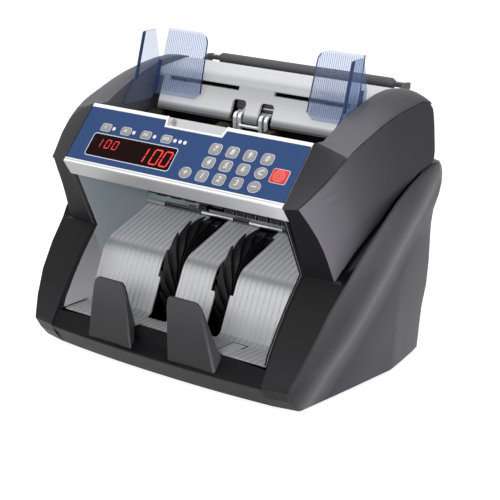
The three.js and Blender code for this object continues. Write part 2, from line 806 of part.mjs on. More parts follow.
// Exit guide: a steel flange with three polished lands, and the black sensor bar above it.
function exitGuide() {
  const flange = alongX(
    [
      [95, 106.4],
      [101, 109.2],
      [101, 115],
      [94.4, 113.4],
    ],
    -pocketHalfWidth + clearance,
    pocketHalfWidth - clearance,
  );
  const lands = [
    [-109, -88],
    [-44.5, -9],
    [9, 44.5],
    [88, 109],
  ].map(([x0, x1]) => rod(2.2, x0, x1, 94.6, 108.6, 12));
  return join(flange, lands);
}
add("exit_guide", exitGuide(), finishes.chrome);
function sensorBar() {
  const bar = block(-106, 106, 92.6, 102.6, 115.6, 120.2);
  const pads = Array.from({ length: 12 }, (_, i) => {
    const x = -94 + i * 16.4;
    return block(x, x + 10, 89.8, 94, 115.8, 119.6);
  });
  const turn = [
    [101, 118.6],
    [113.4, 146],
    [118.4, 166],
    [118, 180],
    [110, 187.6],
  ];
  const behind = turn.map(([y, z]) => [y + 1.6, z + 0.4]).reverse();
  return join(bar, pads, alongX([...turn, ...behind], -84, 106));
}
add("sensor_bar", sensorBar(), finishes.black);

// ---------------------------------------------------------------- control panel
const keys = [];
const digits = [
  ["7", "8", "9", "0"],
  ["4", "5", "6", "clear"],
  ["1", "2", "3", "batch"],
];
digits.forEach((row, r) =>
  row.forEach((label, c) => {
    const round = label === "clear" || label === "batch";
    keys.push({
      name: "key_" + label,
      across: keypadOrigin.across + c * keyPitch.across,
      down: keypadOrigin.down + r * keyPitch.down,
      outline: (grow) =>
        round
          ? ellipse(keySize.width + 0.6 + grow, keySize.height + grow)
          : roundedRect(keySize.width + grow, keySize.height + grow, keySize.corner),
      material: finishes.key,
    });
  }),
);
keys.push({
  name: "key_add",
  across: 12.4,
  down: 46.2,
  outline: (grow) => ellipse(keySize.width + 0.2 + grow, keySize.height + grow),
  material: finishes.key,
});
keys.push({
  name: "key_restart",
  across: redKey.across,
  down: redKey.down,
  outline: (grow) => roundedRect(redKey.width + grow, redKey.height + grow, redKey.corner),
  material: finishes.redKey,
});
for (let i = 0; i < 4; i++)
  keys.push({
    name: "key_function_" + (i + 1),
    across: functionKey.first + i * functionKey.pitch,
    down: functionKey.down,
    outline: (grow) => roundedRect(functionKey.width + grow, functionKey.height + grow, functionKey.corner),
    material: finishes.key,
  });
const keyGap = 0.3;
for (const key of keys) {
  const body = onPanel(key.outline(0), key.across, key.down, 1 - boardDepth, keySize.proud, 0.4);
  add(key.name, body, key.material);
}
const keyHoles = (gap) => keys.map((key) => onPanel(key.outline(2 * gap), key.across, key.down, -6, 3));
// The frame is open under the film where the keys are, in four windows.
const keyWindows = [
  [56.4, 33.6, 66, 37],
  [100.9, 33.4, 17.2, 14],
  [12.4, 46.2, 13.2, 11],
  [-56.1, functionKey.down, 80.4, 8.4],
].map(([across, down, width, height]) => onPanel(roundedRect(width, height, 2), across, down, -6, 3));

// Finger notch in the middle of the panel's upper edge, with a raised rim round its scoop.
const notchOutline = (grow) => [
  [-fingerNotch.halfTop - grow, 3],
  [-fingerNotch.halfBottom - grow, -fingerNotch.depth - grow],
  [fingerNotch.halfBottom + grow, -fingerNotch.depth - grow],
  [fingerNotch.halfTop + grow, 3],
];
const displayOutline = (grow) => roundedRect(display.width + grow, display.height + grow, display.corner);
const displayHole = onPanel(displayOutline(2 * keyGap), display.across, display.down, -6, 3);
function panelBezel() {
  const recess = 0.8;
  const profile = [
    panelPoint(-0.2, -panelThick),
    panelPoint(0, 0),
    panelPoint(overlayTop, 0.3),
    panelPoint(overlayTop, -recess),
    panelPoint(overlayBottom, -recess),
    panelPoint(overlayBottom, 0.3),
    panelPoint(overlayBottom + 1.9, 0.1),
    panelPoint(overlayBottom + 2.3, 0.5),
    panelPoint(panelLength - 0.4, 0.4),
    panelPoint(panelLength + 0.2, -0.3),
    [chinTip.y, chinTip.z],
    [chinTip.y + wall, chinTip.z + 1.4],
    panelPoint(panelLength - 1.6, -panelThick - 0.6),
  ];
  const frame = alongX(profile, -panelHalfWidth, panelHalfWidth);
  const boss = onPanel(notchOutline(1.7), 0, 0, -panelThick, 0.35);
  const trimmedBoss = cut(boss, onPanel(roundedRect(120, 20, 1), 0, -10.2, -10, 10));
  const scoop = onPanel(notchOutline(0), 0, 0, -1.4, 3);
  return cut(join(frame, trimmedBoss), scoop, displayHole, keyWindows);
}
add("panel_bezel", panelBezel(), finishes.silver);

function panelOverlay() {
  const middle = (overlayTop + overlayBottom) / 2;
  const height = overlayBottom - overlayTop - 2 * clearance;
  const sheet = onPanel(roundedRect(2 * panelHalfWidth - 1, height, 0.8), 0, middle, -0.8 + clearance, 0.15);
  return cut(sheet, onPanel(notchOutline(2.1), 0, 0, -5, 3), displayHole, keyHoles(keyGap));
}
add("panel_overlay", panelOverlay(), finishes.overlay);
add(
  "display_window",
  onPanel(displayOutline(0), display.across, display.down, -2.6, 0.1),
  finishes.smoke,
);
add(
  "control_board",
  onPanel(roundedRect(216, 46, 2), 0, overlayTop + 27, -boardDepth - 1.6, -boardDepth),
  finishes.board,
);

// ---------------------------------------------------------------- hopper
const hopperFace = (z) => hopperFoot.y + (z - hopperFoot.z) * hopperLean;
function hopperPlate() {
  const t = wall;
  const slab = alongX(
    [
      [hopperFoot.y + 4.2, hopperFoot.z - 3.4],
      [hopperFoot.y + 1, hopperFoot.z - 2.4],
      [hopperFoot.y, hopperFoot.z],
      [hopperFace(218.6), 218.6],
      [hopperFace(218.6) + t + 0.4, 218.6],
      [hopperFoot.y + t + 0.6, hopperFoot.z + 0.6],
      [hopperFoot.y + 4.6, hopperFoot.z - 1.6],
    ],
    -hopperHalfWidth,
    hopperHalfWidth,
  );
  const flange = alongX(
    [
      [hopperFace(218), 218],
      [hopperFace(218) + 0.9, 220.2],
      [hopperShoulder.y + 1.6, hopperShoulder.z],
      [hopperShoulder.y + 6, hopperShoulder.z + 1.6],
      [flangeRear.y - 2, flangeRear.z],
      [flangeRear.y, flangeRear.z - 1.2],
      [flangeRear.y, flangeRear.z - 4.4],
      [flangeRear.y - t, flangeRear.z - 4.4],
      [flangeRear.y - t, flangeRear.z - 2.6],
      [hopperShoulder.y + 6.6, hopperShoulder.z - 1],
      [hopperShoulder.y + 3, hopperShoulder.z - 2.6],
      [hopperFace(218) + t + 0.4, 218],
    ],
    -sideInner + clearance,
    sideInner - clearance,
  );
  const { inner, outer, top } = rollerWindow;
  const window = archedHole(inner, outer, hopperFoot.z - 6, top, 95, 125);
  const [slotLow, slotHigh] = [guideSlot.z - guideSlot.height / 2, guideSlot.z + guideSlot.height / 2];
  const slot = block(guideSlot.inner, guideSlot.outer, 100, 130, slotLow, slotHigh);
  return cut(join(slab, flange), window, mirrored(window), slot, mirrored(slot));
}
// A hole through Y with a rounded top: x0 to x1, z0 to z1, y0 to y1.
function archedHole(x0, x1, z0, z1, y0, y1) {
  const radius = 3;
  const outline = [
    [x0, z0],
    [x1, z0],
    [x1, z1 - radius],
    [x1 - radius * 0.3, z1 - radius * 0.3],
    [x1 - radius, z1],
    [x0 + radius, z1],
    [x0 + radius * 0.3, z1 - radius * 0.3],
    [x0, z1 - radius],
  ];
  return toSolid(extrude(outline, y1 - y0).rotateX(Math.PI / 2).translate(0, y1, 0));
}
add("hopper_plate", hopperPlate(), finishes.silver);

function hopperFloor() {
  const sheet = alongX(
    [
      [41.6, 197.6],
      [43, 198.6],
      [85.6, 188.2],
      [85.6, 186],
      [84, 186],
      [43, 195.8],
    ],
    -sideInner + clearance,
    sideInner - clearance,
  );
  const slot = block(9, 24, 54, 90, 180, 205);
  return cut(sheet, slot, mirrored(slot));
}
add("hopper_floor", hopperFloor(), finishes.black);

// Two pairs of curved spring fingers through the windows, tied by a bar.
function hopperFingers() {
  const outer = [
    [113.4, 202.2],
    [104, 202.2],
    [98.6, 199.8],
    [95.4, 195.6],
    [94.2, 190.4],
  ];
  const inner = [
    [95.2, 190.2],
    [96.4, 195.2],
    [99.4, 198.6],
    [104.4, 201],
    [113.4, 201],
  ];
  const strips = [-18.6, -12.4, 9.4, 15.6].map((x) => alongX([...outer, ...inner], x, x + 3));
  const root = block(-20, 20, 112, 114.4, 199.6, 204.4);
  const tie = rod(1.3, -18, 18, 98.4, 198, 10);
  return join(strips, root, tie);
}
add("hopper_fingers", cut(hopperFingers(), block(-7.8, 7.8, 102.5, 111.8, 196, 207)), finishes.chrome);

// Sliding note guides: a ribbed rear plate, a side fin and a tongue through the hopper slot.
const guideFront = (z) => guideFoot + (z - guide.bottom) * guideLean;
function noteGuide() {
  const width = guide.plate - guide.inner;
  const leanFrame = new THREE.Matrix4().makeBasis(
    new THREE.Vector3(1, 0, 0),
    new THREE.Vector3(0, guideLean, 1).normalize(),
    new THREE.Vector3(0, -1, guideLean).normalize(),
  );
  const tall = (guide.top - guide.bottom) * Math.hypot(1, guideLean);
  const outline = [
    [6.5, 0],
    [width, 0],
    [width, 30],
    [width - 1.6, tall],
    [12, tall],
    [7.6, tall - 0.9],
    [4, tall - 3.4],
    [1.8, tall - 7],
    [1.4, tall - 10],
    [0, 5.5],
  ];
  const rear = toSolid(
    extrude(outline, guide.thick)
      .applyMatrix4(leanFrame)
      .translate(guide.inner, guideFoot + guide.thick, guide.bottom),
  );
  const fin = alongX(
    [
      [guideFront(232) + guide.thick, 232],
      [110.6, 259],
      [96.6, 259],
      [95, 258],
      [84.6, 223],
      [80, 214],
      [71.4, 206],
      [68, 199],
      [102, 199],
      [guideFront(guide.bottom) + guide.thick, guide.bottom],
    ],
    guide.outer - 1.8,
    guide.outer,
  );
  const corner = alongX(
    [
      [guideFront(guide.bottom) + 0.2, guide.bottom],
      [guideFront(guide.bottom) + guide.thick, guide.bottom],
      [guideFront(232) + guide.thick, 232],
      [guideFront(232) + 0.2, 232],
    ],
    guide.plate - 1,
    guide.outer - 1,
  );
  const tongue = block(76, 95, guideFront(217) - 0.6, 121.4, guideSlot.z - 1.4, guideSlot.z + 1.4);
  const head = block(75, 96, 118.6, 121.4, guideSlot.z - 5, guideSlot.z + 1.6);
  return join(rear, fin, corner, tongue, head);
}
const rightGuide = noteGuide();
add("note_guide_right", rightGuide, finishes.guide);
add("note_guide_left", mirrored(rightGuide), finishes.guide);

// ---------------------------------------------------------------- fan wheels and shafts
// Each blade leaves the hub and trails back round it in a spiral to the rim. Its free end is cut
// aslant: the left edge runs on alone to the tip, past where the right edge stops.
const bladeStations = { left: [0, 0.1, 0.25, 0.43, 0.61, 0.8, 1], right: [0, 0.1, 0.25, 0.43, 0.59, 0.7, 0.79] };
function bladePoint(t, turn) {
  const r = lerp(wheel.hub - 1, wheel.radius - blade.tip / 2, Math.sqrt(t));
  const angle = blade.firstTip + blade.sweep * (1 - t) + turn;
  return new THREE.Vector2(wheel.y + r * Math.cos(angle), wheel.z + r * Math.sin(angle));
}
function wheelOutline(stations, x) {
  return Array.from({ length: blade.count }, (_, i) => {
    const turn = (2 * Math.PI * i) / blade.count;
    const edge = (side) =>
      stations.map((t) => {
        const along = bladePoint(t + 0.01, turn).sub(bladePoint(Math.max(0, t - 0.01), turn)).normalize();
        const half = (side * lerp(blade.root, blade.tip, t)) / 2;
        const p = bladePoint(t, turn);
        return [x, p.x + along.y * half, p.y - along.x * half];
      });
    return [...edge(1), ...edge(-1).reverse()];
  }).flat();
}
function fanWheel() {
  const [left, right] = [-wheel.width / 2, wheel.width / 2];
  const blades = loft([wheelOutline(bladeStations.left, left), wheelOutline(bladeStations.right, right)]);
  const hub = rod(wheel.hub, left - 0.8, right + 0.8, wheel.y, wheel.z, 20);
  const bore = rod(shaftRadius + 0.15, -wheel.width, wheel.width, wheel.y, wheel.z, 16);
  return cut(join(hub, blades), bore);
}
const fan = fanWheel();
add("stacker_wheel_right", fan.translate([wheel.centre, 0, 0]), finishes.black);
add("stacker_wheel_left", fan.translate([-wheel.centre, 0, 0]), finishes.black);

const frameOuter = sideInner - 0.5;
const pulley = (x, radius) => [
  [x - beltWidth / 2 - 2.2, radius + 2],
  [x - beltWidth / 2 - 0.8, radius + 2],
  [x - beltWidth / 2 - 0.8, radius],
  [x + beltWidth / 2 + 0.8, radius],
  [x + beltWidth / 2 + 0.8, radius + 2],
  [x + beltWidth / 2 + 2.2, radius + 2],
];
add(
  "stacker_shaft",
  turned(
    [
      [-frameOuter, shaftRadius],
      [motorPulley.stackerLane - 5.3, shaftRadius],
      ...pulley(motorPulley.stackerLane, stackerPulleyRadius),
      [motorPulley.stackerLane + 5.3, shaftRadius],
      [frameOuter, shaftRadius],
    ],
    wheel.y,
    wheel.z,
  ),
  finishes.steel,
);
const rollerProfile = (halfGap, halfEnd, radius) => [
  [-halfEnd, shaftRadius],
  [-halfEnd, radius],
  [-halfGap, radius],
  [-halfGap, shaftRadius],
  [halfGap, shaftRadius],
  [halfGap, radius],
  [halfEnd, radius],
  [halfEnd, shaftRadius],
];
add(
  "feed_roller",
  turned(
    [
      [-frameOuter, shaftRadius],
      [motorPulley.feedLane - 5.3, shaftRadius],
      ...pulley(motorPulley.feedLane, feedPulleyRadius),
      [motorPulley.feedLane + 5.3, shaftRadius],
      ...rollerProfile(8.5, 30, feedAxis.roller),
      [frameOuter, shaftRadius],
    ],
    feedAxis.y,
    feedAxis.z,
  ),
  finishes.rubber,
);
add(
  "pickup_roller",
  turned(
    [
      [-frameOuter, shaftRadius],
      ...rollerProfile(10.2, 22.8, pickupAxis.roller),
      [frameOuter, shaftRadius],
    ],
    pickupAxis.y,
    pickupAxis.z,
  ),
  finishes.rubber,
);

// Side frame plates inside the casing carry every shaft.
function framePlate() {
  const outline = [
    [34, 8],
    [168, 8],
    [168, 190],
    [150, 200],
    [124, 196],
    [112, 184],
    [60, 184],
    [34, 168],
  ];
  const sheet = alongX(outline, 112.1, 113.9);
  const holes = [wheel, feedAxis, pickupAxis].map(shaftHole);
  return cut(sheet, holes);
}
const frame = framePlate();
add("frame_plate_right", frame, finishes.steel);
add("frame_plate_left", mirrored(frame), finishes.steel);

// ---------------------------------------------------------------- drive and electrics
add(
  "main_motor",
  cut(
    join(
      turned(
        [
          [-84, 8],
          [-84, 20],
          [-82, 22],
          [-38, 22],
          [-36, 20],
          [-36, 9],
          [-33, 9],
        ],
        motorAxis.y,
        motorAxis.z,
        16,
      ),
      block(-78, -44, 124, 160, 5.4, 30),
    ),
    rod(3.4, -90, -70, motorAxis.y, motorAxis.z, 12),
  ),
  finishes.steel,
);
add(
  "motor_pulley",
  turned(
    [
      [-frameOuter + 3, 3],
      [motorPulley.feedLane - 5.3, 3],
      ...pulley(motorPulley.feedLane, motorPulley.radius),
      [motorPulley.feedLane + 5.25, motorPulley.radius - 1],
      [motorPulley.stackerLane - 5.25, motorPulley.radius - 1],
      ...pulley(motorPulley.stackerLane, motorPulley.radius),
      [motorPulley.stackerLane + 5.3, 3],
      [-72, 3],
    ],
    motorAxis.y,
    motorAxis.z,
  ),
  finishes.steel,
);
// A flat belt loop round two pulleys: the outer loop less the inner one.
function beltLoop(a, radiusA, b, radiusB, lane) {
  const hull = (grow) => {
    const direction = Math.atan2(b.z - a.z, b.y - a.y);
    const distance = Math.hypot(b.z - a.z, b.y - a.y);
    const tilt = Math.acos((radiusA - radiusB) / distance);
    const points = [];
    const arc = (centre, radius, from, to) => {
      for (let i = 0; i <= 9; i++) {
        const angle = lerp(from, to, i / 9);
        points.push([centre.y + radius * Math.cos(angle), centre.z + radius * Math.sin(angle)]);
      }
    };
    arc(a, radiusA + grow, direction + tilt, direction + 2 * Math.PI - tilt);
    arc(b, radiusB + grow, direction - tilt, direction + tilt);
    return points;
  };
  const inner = 0.6;
  return cut(
    alongX(hull(inner + beltThick), lane - beltWidth / 2, lane + beltWidth / 2),
    alongX(hull(inner), lane - beltWidth, lane + beltWidth),
  );
}
add(
  "feed_belt",
  beltLoop(motorAxis, motorPulley.radius, feedAxis, feedPulleyRadius, motorPulley.feedLane),
  finishes.rubber,
);
add(
  "stacker_belt",
  beltLoop(motorAxis, motorPulley.radius, wheel, stackerPulleyRadius, motorPulley.stackerLane),
  finishes.rubber,
);
add(
  "power_supply",
  join(
    block(46, 104, 115, 145, 5.4, 9),
    block(50, 100, 118, 142, 8.8, 44),
    block(58, 92, 112, 148, 14, 38),
  ),
  finishes.copper,
);

// ---------------------------------------------------------------- rear cover, inlet, switch, handle, feet
// A block round the inlet or the switch, grown by a margin in X and Z, from y0 to y1.
function round(item, grow, y0, y1) {
  const [halfX, halfZ] = [item.width / 2 + grow, item.height / 2 + grow];
  return block(item.x - halfX, item.x + halfX, y0, y1, item.z - halfZ, item.z + halfZ);
}
function rearCover() {
  const outer = [
    [171, footHeight + 3],
    [175.4, 60],
    [178, 110],
    [183, 142],
    [185.4, 158],
    [184.6, 176],
    [181, 189],
    [174, 198],
    [163, 203.6],
    [161.6, 222.4],
  ];
  const inner = [
    [159.2, 222.4],
    [160, 201.6],
    [172, 196],
    [178.6, 188],
    [182, 176],
    [182.8, 158],
    [180.4, 142.6],
    [175.4, 110.6],
    [172.8, 60.6],
    [168.6, footHeight + 3.4],
  ];
  const sheet = alongX([...outer, ...inner], -sideInner + clearance, sideInner - clearance);
  const vents = Array.from({ length: 10 }, (_, i) => block(-99 + i * 9, -95 + i * 9, 165, 190, 92, 136));
  const openings = [
    round(inlet, clearance, 160, 185),
    round(rocker, 0.6, 160, 185),
  ];
  const lugs = [-1, 1].map((side) => {
    const x = side * (handle.armX + 3.4);
    return alongX(
      [
        [159.6, 202],
        [handle.pivotY + 6, 200.4],
        [handle.pivotY + 5, handle.pivotZ + 2],
        [handle.pivotY, handle.pivotZ + 5.4],
        [159.6, handle.pivotZ + 3],
      ],
      x - 1.4,
      x + 1.4,
    );
  });
  const pins = [-1, 1].map((side) => {
    const ends = [side * (handle.armX - 2.6), side * (handle.armX + 3)].sort((a, b) => a - b);
    return rod(2, ends[0], ends[1], handle.pivotY, handle.pivotZ, 12);
  });
  const armSlots = [-1, 1].map((side) => {
    const x = side * handle.armX;
    return block(x - 1.8, x + 1.8, 155, 172, 205, 226);
  });
  return join(cut(sheet, vents, openings, armSlots), lugs, pins);
}
add("rear_cover", rearCover(), finishes.charcoal);

function powerInlet() {
  const body = round(inlet, 0, 150, 176);
  const rim = round(inlet, 2.6, 175.4, 177.2);
  const well = round(inlet, -3, 158, 180);
  const pins = [-6, 0, 6].map((dx) => {
    const z = inlet.z + (dx ? -2 : 1);
    return block(inlet.x + dx - 1, inlet.x + dx + 1, 156, 173, z, z + 4);
  });
  return join(cut(join(body, rim), well), pins);
}
add("power_inlet", powerInlet(), finishes.black);
add(
  "power_switch",
  alongX(
    [
      [165, rocker.z - rocker.height / 2 + 0.9],
      [174.6, rocker.z - rocker.height / 2 + 0.9],
      [173.4, rocker.z],
      [177.2, rocker.z + rocker.height / 2 - 0.9],
      [165, rocker.z + rocker.height / 2 - 0.9],
    ],
    rocker.x - rocker.width / 2,
    rocker.x + rocker.width / 2,
  ),
  finishes.black,
);

// Folding carry handle: a grip between two arms that turn on the pins of the rear cover.
function carryHandle() {
  const grip = turned(
    [
      [-handle.half - 3, 3],
      [-handle.half, handle.grip],
      [handle.half, handle.grip],
      [handle.half + 3, 3],
    ],
    handle.y,
    handle.z,
    16,
  );
  const arms = [-1, 1].map((side) => {
    const x = side * handle.armX;
    const arm = alongX(
      [
        [handle.pivotY - 3.6, handle.pivotZ - 3],
        [handle.pivotY + 3, handle.pivotZ - 4.4],
        [handle.y + 4, handle.z - 2],
        [handle.y + 4, handle.z + 2.4],
        [handle.y - 3, handle.z + 3],
        [handle.pivotY - 4, handle.pivotZ + 3.6],
      ],
      x - 1.2,
      x + 1.2,
    );
    const ends = [side * (handle.half - 2), x].sort((a, b) => a - b);
    return join(arm, block(ends[0], ends[1], handle.y - 3, handle.y + 3, handle.z - 1.8, handle.z + 1.8));
  });
  return cut(join(grip, arms), rod(2.4, -120, 120, handle.pivotY, handle.pivotZ, 12));
}
add("carry_handle", carryHandle(), finishes.stop);

for (const [name, side, y] of [
  ["foot_front_right", 1, foot.front],
  ["foot_front_left", -1, foot.front],
  ["foot_rear_right", 1, foot.rear],
  ["foot_rear_left", -1, foot.rear],
]) {
  const height = footHeight - clearance;
  const disc = new THREE.CylinderGeometry(foot.radius, foot.radius - 1, height, 16).rotateX(Math.PI / 2);
  add(name, toSolid(disc.translate(side * foot.x, y, height / 2)), finishes.rubber);
}

export default machine;
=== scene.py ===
import math
import bpy
import bmesh
from mathutils import Matrix, Vector


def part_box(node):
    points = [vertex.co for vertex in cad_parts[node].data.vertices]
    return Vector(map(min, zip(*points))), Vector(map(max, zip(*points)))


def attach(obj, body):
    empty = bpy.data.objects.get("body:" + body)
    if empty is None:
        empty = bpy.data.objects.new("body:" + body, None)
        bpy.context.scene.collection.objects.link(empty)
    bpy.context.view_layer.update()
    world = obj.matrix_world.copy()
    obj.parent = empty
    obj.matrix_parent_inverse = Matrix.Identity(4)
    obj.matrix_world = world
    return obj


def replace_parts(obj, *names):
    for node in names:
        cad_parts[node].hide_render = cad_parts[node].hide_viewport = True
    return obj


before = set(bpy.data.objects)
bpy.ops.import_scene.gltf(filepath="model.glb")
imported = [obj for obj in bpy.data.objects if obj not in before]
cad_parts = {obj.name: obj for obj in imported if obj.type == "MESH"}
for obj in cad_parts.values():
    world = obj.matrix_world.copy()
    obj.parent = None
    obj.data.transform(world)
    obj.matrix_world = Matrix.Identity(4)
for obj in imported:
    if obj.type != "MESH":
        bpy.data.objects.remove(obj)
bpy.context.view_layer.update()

print("frame loaded:", len(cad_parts), "nodes")

# Sizes below are in millimetres in the maker's drawing frame: X across, Y back from the panel's
# lower edge, Z up. toRow brings a mesh from there into the object's own frame in metres.
drawingShift = -77.575
toRow = Matrix.Scale(0.001, 4) @ Matrix.Translation((0, drawingShift, 0))
fromRow = toRow.inverted()


# small tools for colours and nodes
def linearColour(hexText, share=1.0):
    # sRGB hex to the linear values a shader socket takes; a share under 1 darkens it
    parts = [int(hexText[i:i + 2], 16) / 255 for i in (1, 3, 5)]
    linear = [c / 12.92 if c <= 0.04045 else ((c + 0.055) / 1.055) ** 2.4 for c in parts]
    return tuple(c * share for c in linear) + (1.0,)


def setInputs(tree, node, inputs):
    # each input takes a value, a socket or the first output of another node
    for key, value in inputs.items():
        if isinstance(value, bpy.types.Node):
            value = value.outputs[0]
        if isinstance(value, bpy.types.NodeSocket):
            tree.links.new(value, node.inputs[key])
        else:
            node.inputs[key].default_value = value


def addNode(tree, kind, inputs=None, stops=(), **settings):
    # one shader node with its settings and links; stops fill a colour ramp in rising order
    node = tree.nodes.new(kind)
    for key, value in settings.items():
        setattr(node, key, value)
    for i, (position, colour) in enumerate(stops):
        elements = node.color_ramp.elements
        element = elements[i] if i < 2 else elements.new(position)
        element.position, element.color = position, colour
    setInputs(tree, node, inputs or {})
    return node


def newMaterial(name):
    material = bpy.data.materials.new(name)
    material.use_nodes = True
    tree = material.node_tree
    tree.nodes.clear()
    shader = addNode(tree, "ShaderNodeBsdfPrincipled")
    addNode(tree, "ShaderNodeOutputMaterial", {"Surface": shader})
    place = addNode(tree, "ShaderNodeTexCoord").outputs["Object"]
    return material, tree, shader, place


def unevenGloss(tree, place, roughness, patchMm, detail):
    # a roughness that drifts a little in soft patches
    patches = addNode(tree, "ShaderNodeTexNoise", {"Vector": place, "Scale": 1000 / patchMm,
                                                   "Detail": detail})
    return addNode(tree, "ShaderNodeMapRange", {"Value": patches, "To Min": roughness - 0.04,
                                                "To Max": roughness + 0.05})


def mouldGrain(tree, place, grainMm=0.5, strength=0.12):
    # the shallow spark-eroded grain that a steel mould leaves on plastic
    grain = addNode(tree, "ShaderNodeTexNoise", {"Vector": place, "Scale": 1000 / grainMm, "Detail": 1})
    return addNode(tree, "ShaderNodeBump", {"Strength": strength, "Distance": 0.00006, "Height": grain})


def mouldedPlastic(name, hexText, roughness, lighterHex, grainMm=0.5, grain=0.12, level=0.3):
    # injection-moulded ABS or rubber: even colour, a fine grain that breaks up the gloss
    material, tree, shader, place = newMaterial(name)
    clouds = addNode(tree, "ShaderNodeTexNoise", {"Vector": place, "Scale": 1000 / 60, "Detail": 3})
    tones = [(0.3, linearColour(hexText)), (0.75, linearColour(lighterHex))]
    setInputs(tree, shader, {
        "Base Color": addNode(tree, "ShaderNodeValToRGB", {"Fac": clouds}, tones),
        "Roughness": unevenGloss(tree, place, roughness, 9, 4),
        "Normal": mouldGrain(tree, place, grainMm, grain),
        "IOR": 1.5, "Specular IOR Level": level})
    return material


def coatedSilver(name, hexText, roughness, flakeMm=0.35, metallic=0.55):
    # silver lacquer over plastic: fine flakes under a soft gloss
    material, tree, shader, place = newMaterial(name)
    flakes = addNode(tree, "ShaderNodeTexNoise", {"Vector": place, "Scale": 1000 / flakeMm, "Detail": 0})
    tones = [(0.4, linearColour(hexText, 0.93)), (0.6, linearColour(hexText))]
    setInputs(tree, shader, {
        "Base Color": addNode(tree, "ShaderNodeValToRGB", {"Fac": flakes}, tones),
        "Roughness": unevenGloss(tree, place, roughness, 15, 3),
        "Metallic": metallic})
    return material


def brushedMetal(name, hexText, roughness, stretch=(1, 0.02, 0.02), lineMm=0.25, grain=0.25, metallic=1.0):
    # sheet metal with fine drawn lines along one direction
    material, tree, shader, place = newMaterial(name)
    drawn = addNode(tree, "ShaderNodeMapping", {"Vector": place, "Scale": stretch})
    lines = addNode(tree, "ShaderNodeTexNoise", {"Vector": drawn, "Scale": 1000 / lineMm, "Detail": 2})
    tones = [(0.35, linearColour(hexText, 0.86)), (0.6, linearColour(hexText))]
    setInputs(tree, shader, {
        "Base Color": addNode(tree, "ShaderNodeValToRGB", {"Fac": lines}, tones),
        "Roughness": addNode(tree, "ShaderNodeMapRange", {"Value": lines, "To Min": roughness - 0.06,
                                                          "To Max": roughness + 0.07}),
        "Normal": addNode(tree, "ShaderNodeBump", {"Strength": grain, "Distance": 0.00003, "Height": lines}),
        "Metallic": metallic})
    return material


def clearAcrylic(name, hexText, bodyHex, body):
    # tinted clear sheet: light passes straight through the tint, a little of the body shows and shines
    material, tree, shader, place = newMaterial(name)
    haze = addNode(tree, "ShaderNodeTexNoise", {"Vector": place, "Scale": 1000 / 30, "Detail": 2})
    tones = [(0.3, linearColour(bodyHex, 0.98)), (0.7, linearColour(bodyHex))]
    setInputs(tree, shader, {
        "Base Color": addNode(tree, "ShaderNodeValToRGB", {"Fac": haze}, tones),
        "Roughness": 0.15})
    clear = addNode(tree, "ShaderNodeBsdfTransparent", {"Color": linearColour(hexText)})
    mix = addNode(tree, "ShaderNodeMixShader", {0: body, 1: clear, 2: shader})
    setInputs(tree, shader.outputs[0].links[0].to_node, {"Surface": mix})
    return material


def glowing(name, hexText, strength):
    # light-emitting bars behind a tinted window, a little uneven from end to end
    material, tree, shader, place = newMaterial(name)
    uneven = addNode(tree, "ShaderNodeTexNoise", {"Vector": place, "Scale": 1000 / 4, "Detail": 1})
    setInputs(tree, shader, {
        "Base Color": linearColour(hexText), "Roughness": 0.4, "Emission Color": linearColour(hexText),
        "Emission Strength": addNode(tree, "ShaderNodeMapRange", {
            "Value": uneven, "To Min": strength * 0.85, "To Max": strength * 1.1})})
    return material


def paintedLightAlong(name, direction, low, high, stops, roughness, metallic=0.0, level=0.3):
    # painted light and shade: a tone that runs along a direction in the drawing frame, from low to high in
    # millimetres
    material, tree, shader, place = newMaterial(name)
    along = addNode(tree, "ShaderNodeVectorMath", {0: place, 1: direction}, operation="DOT_PRODUCT")
    shift = direction[1] * drawingShift
    run = addNode(tree, "ShaderNodeMapRange", {
        "Value": along.outputs["Value"], "From Min": (low + shift) / 1000, "From Max": (high + shift) / 1000})
    tones = [(position, linearColour(hexText)) for position, hexText in stops]
    setInputs(tree, shader, {
        "Base Color": addNode(tree, "ShaderNodeValToRGB", {"Fac": run}, tones),
        "Roughness": unevenGloss(tree, place, roughness, 15, 3),
        "Normal": mouldGrain(tree, place),
        "Metallic": metallic, "Specular IOR Level": level})
    return material


upward, backward, acrossX = (0, 0, 1), (0, 1, 0), (1, 0, 0)

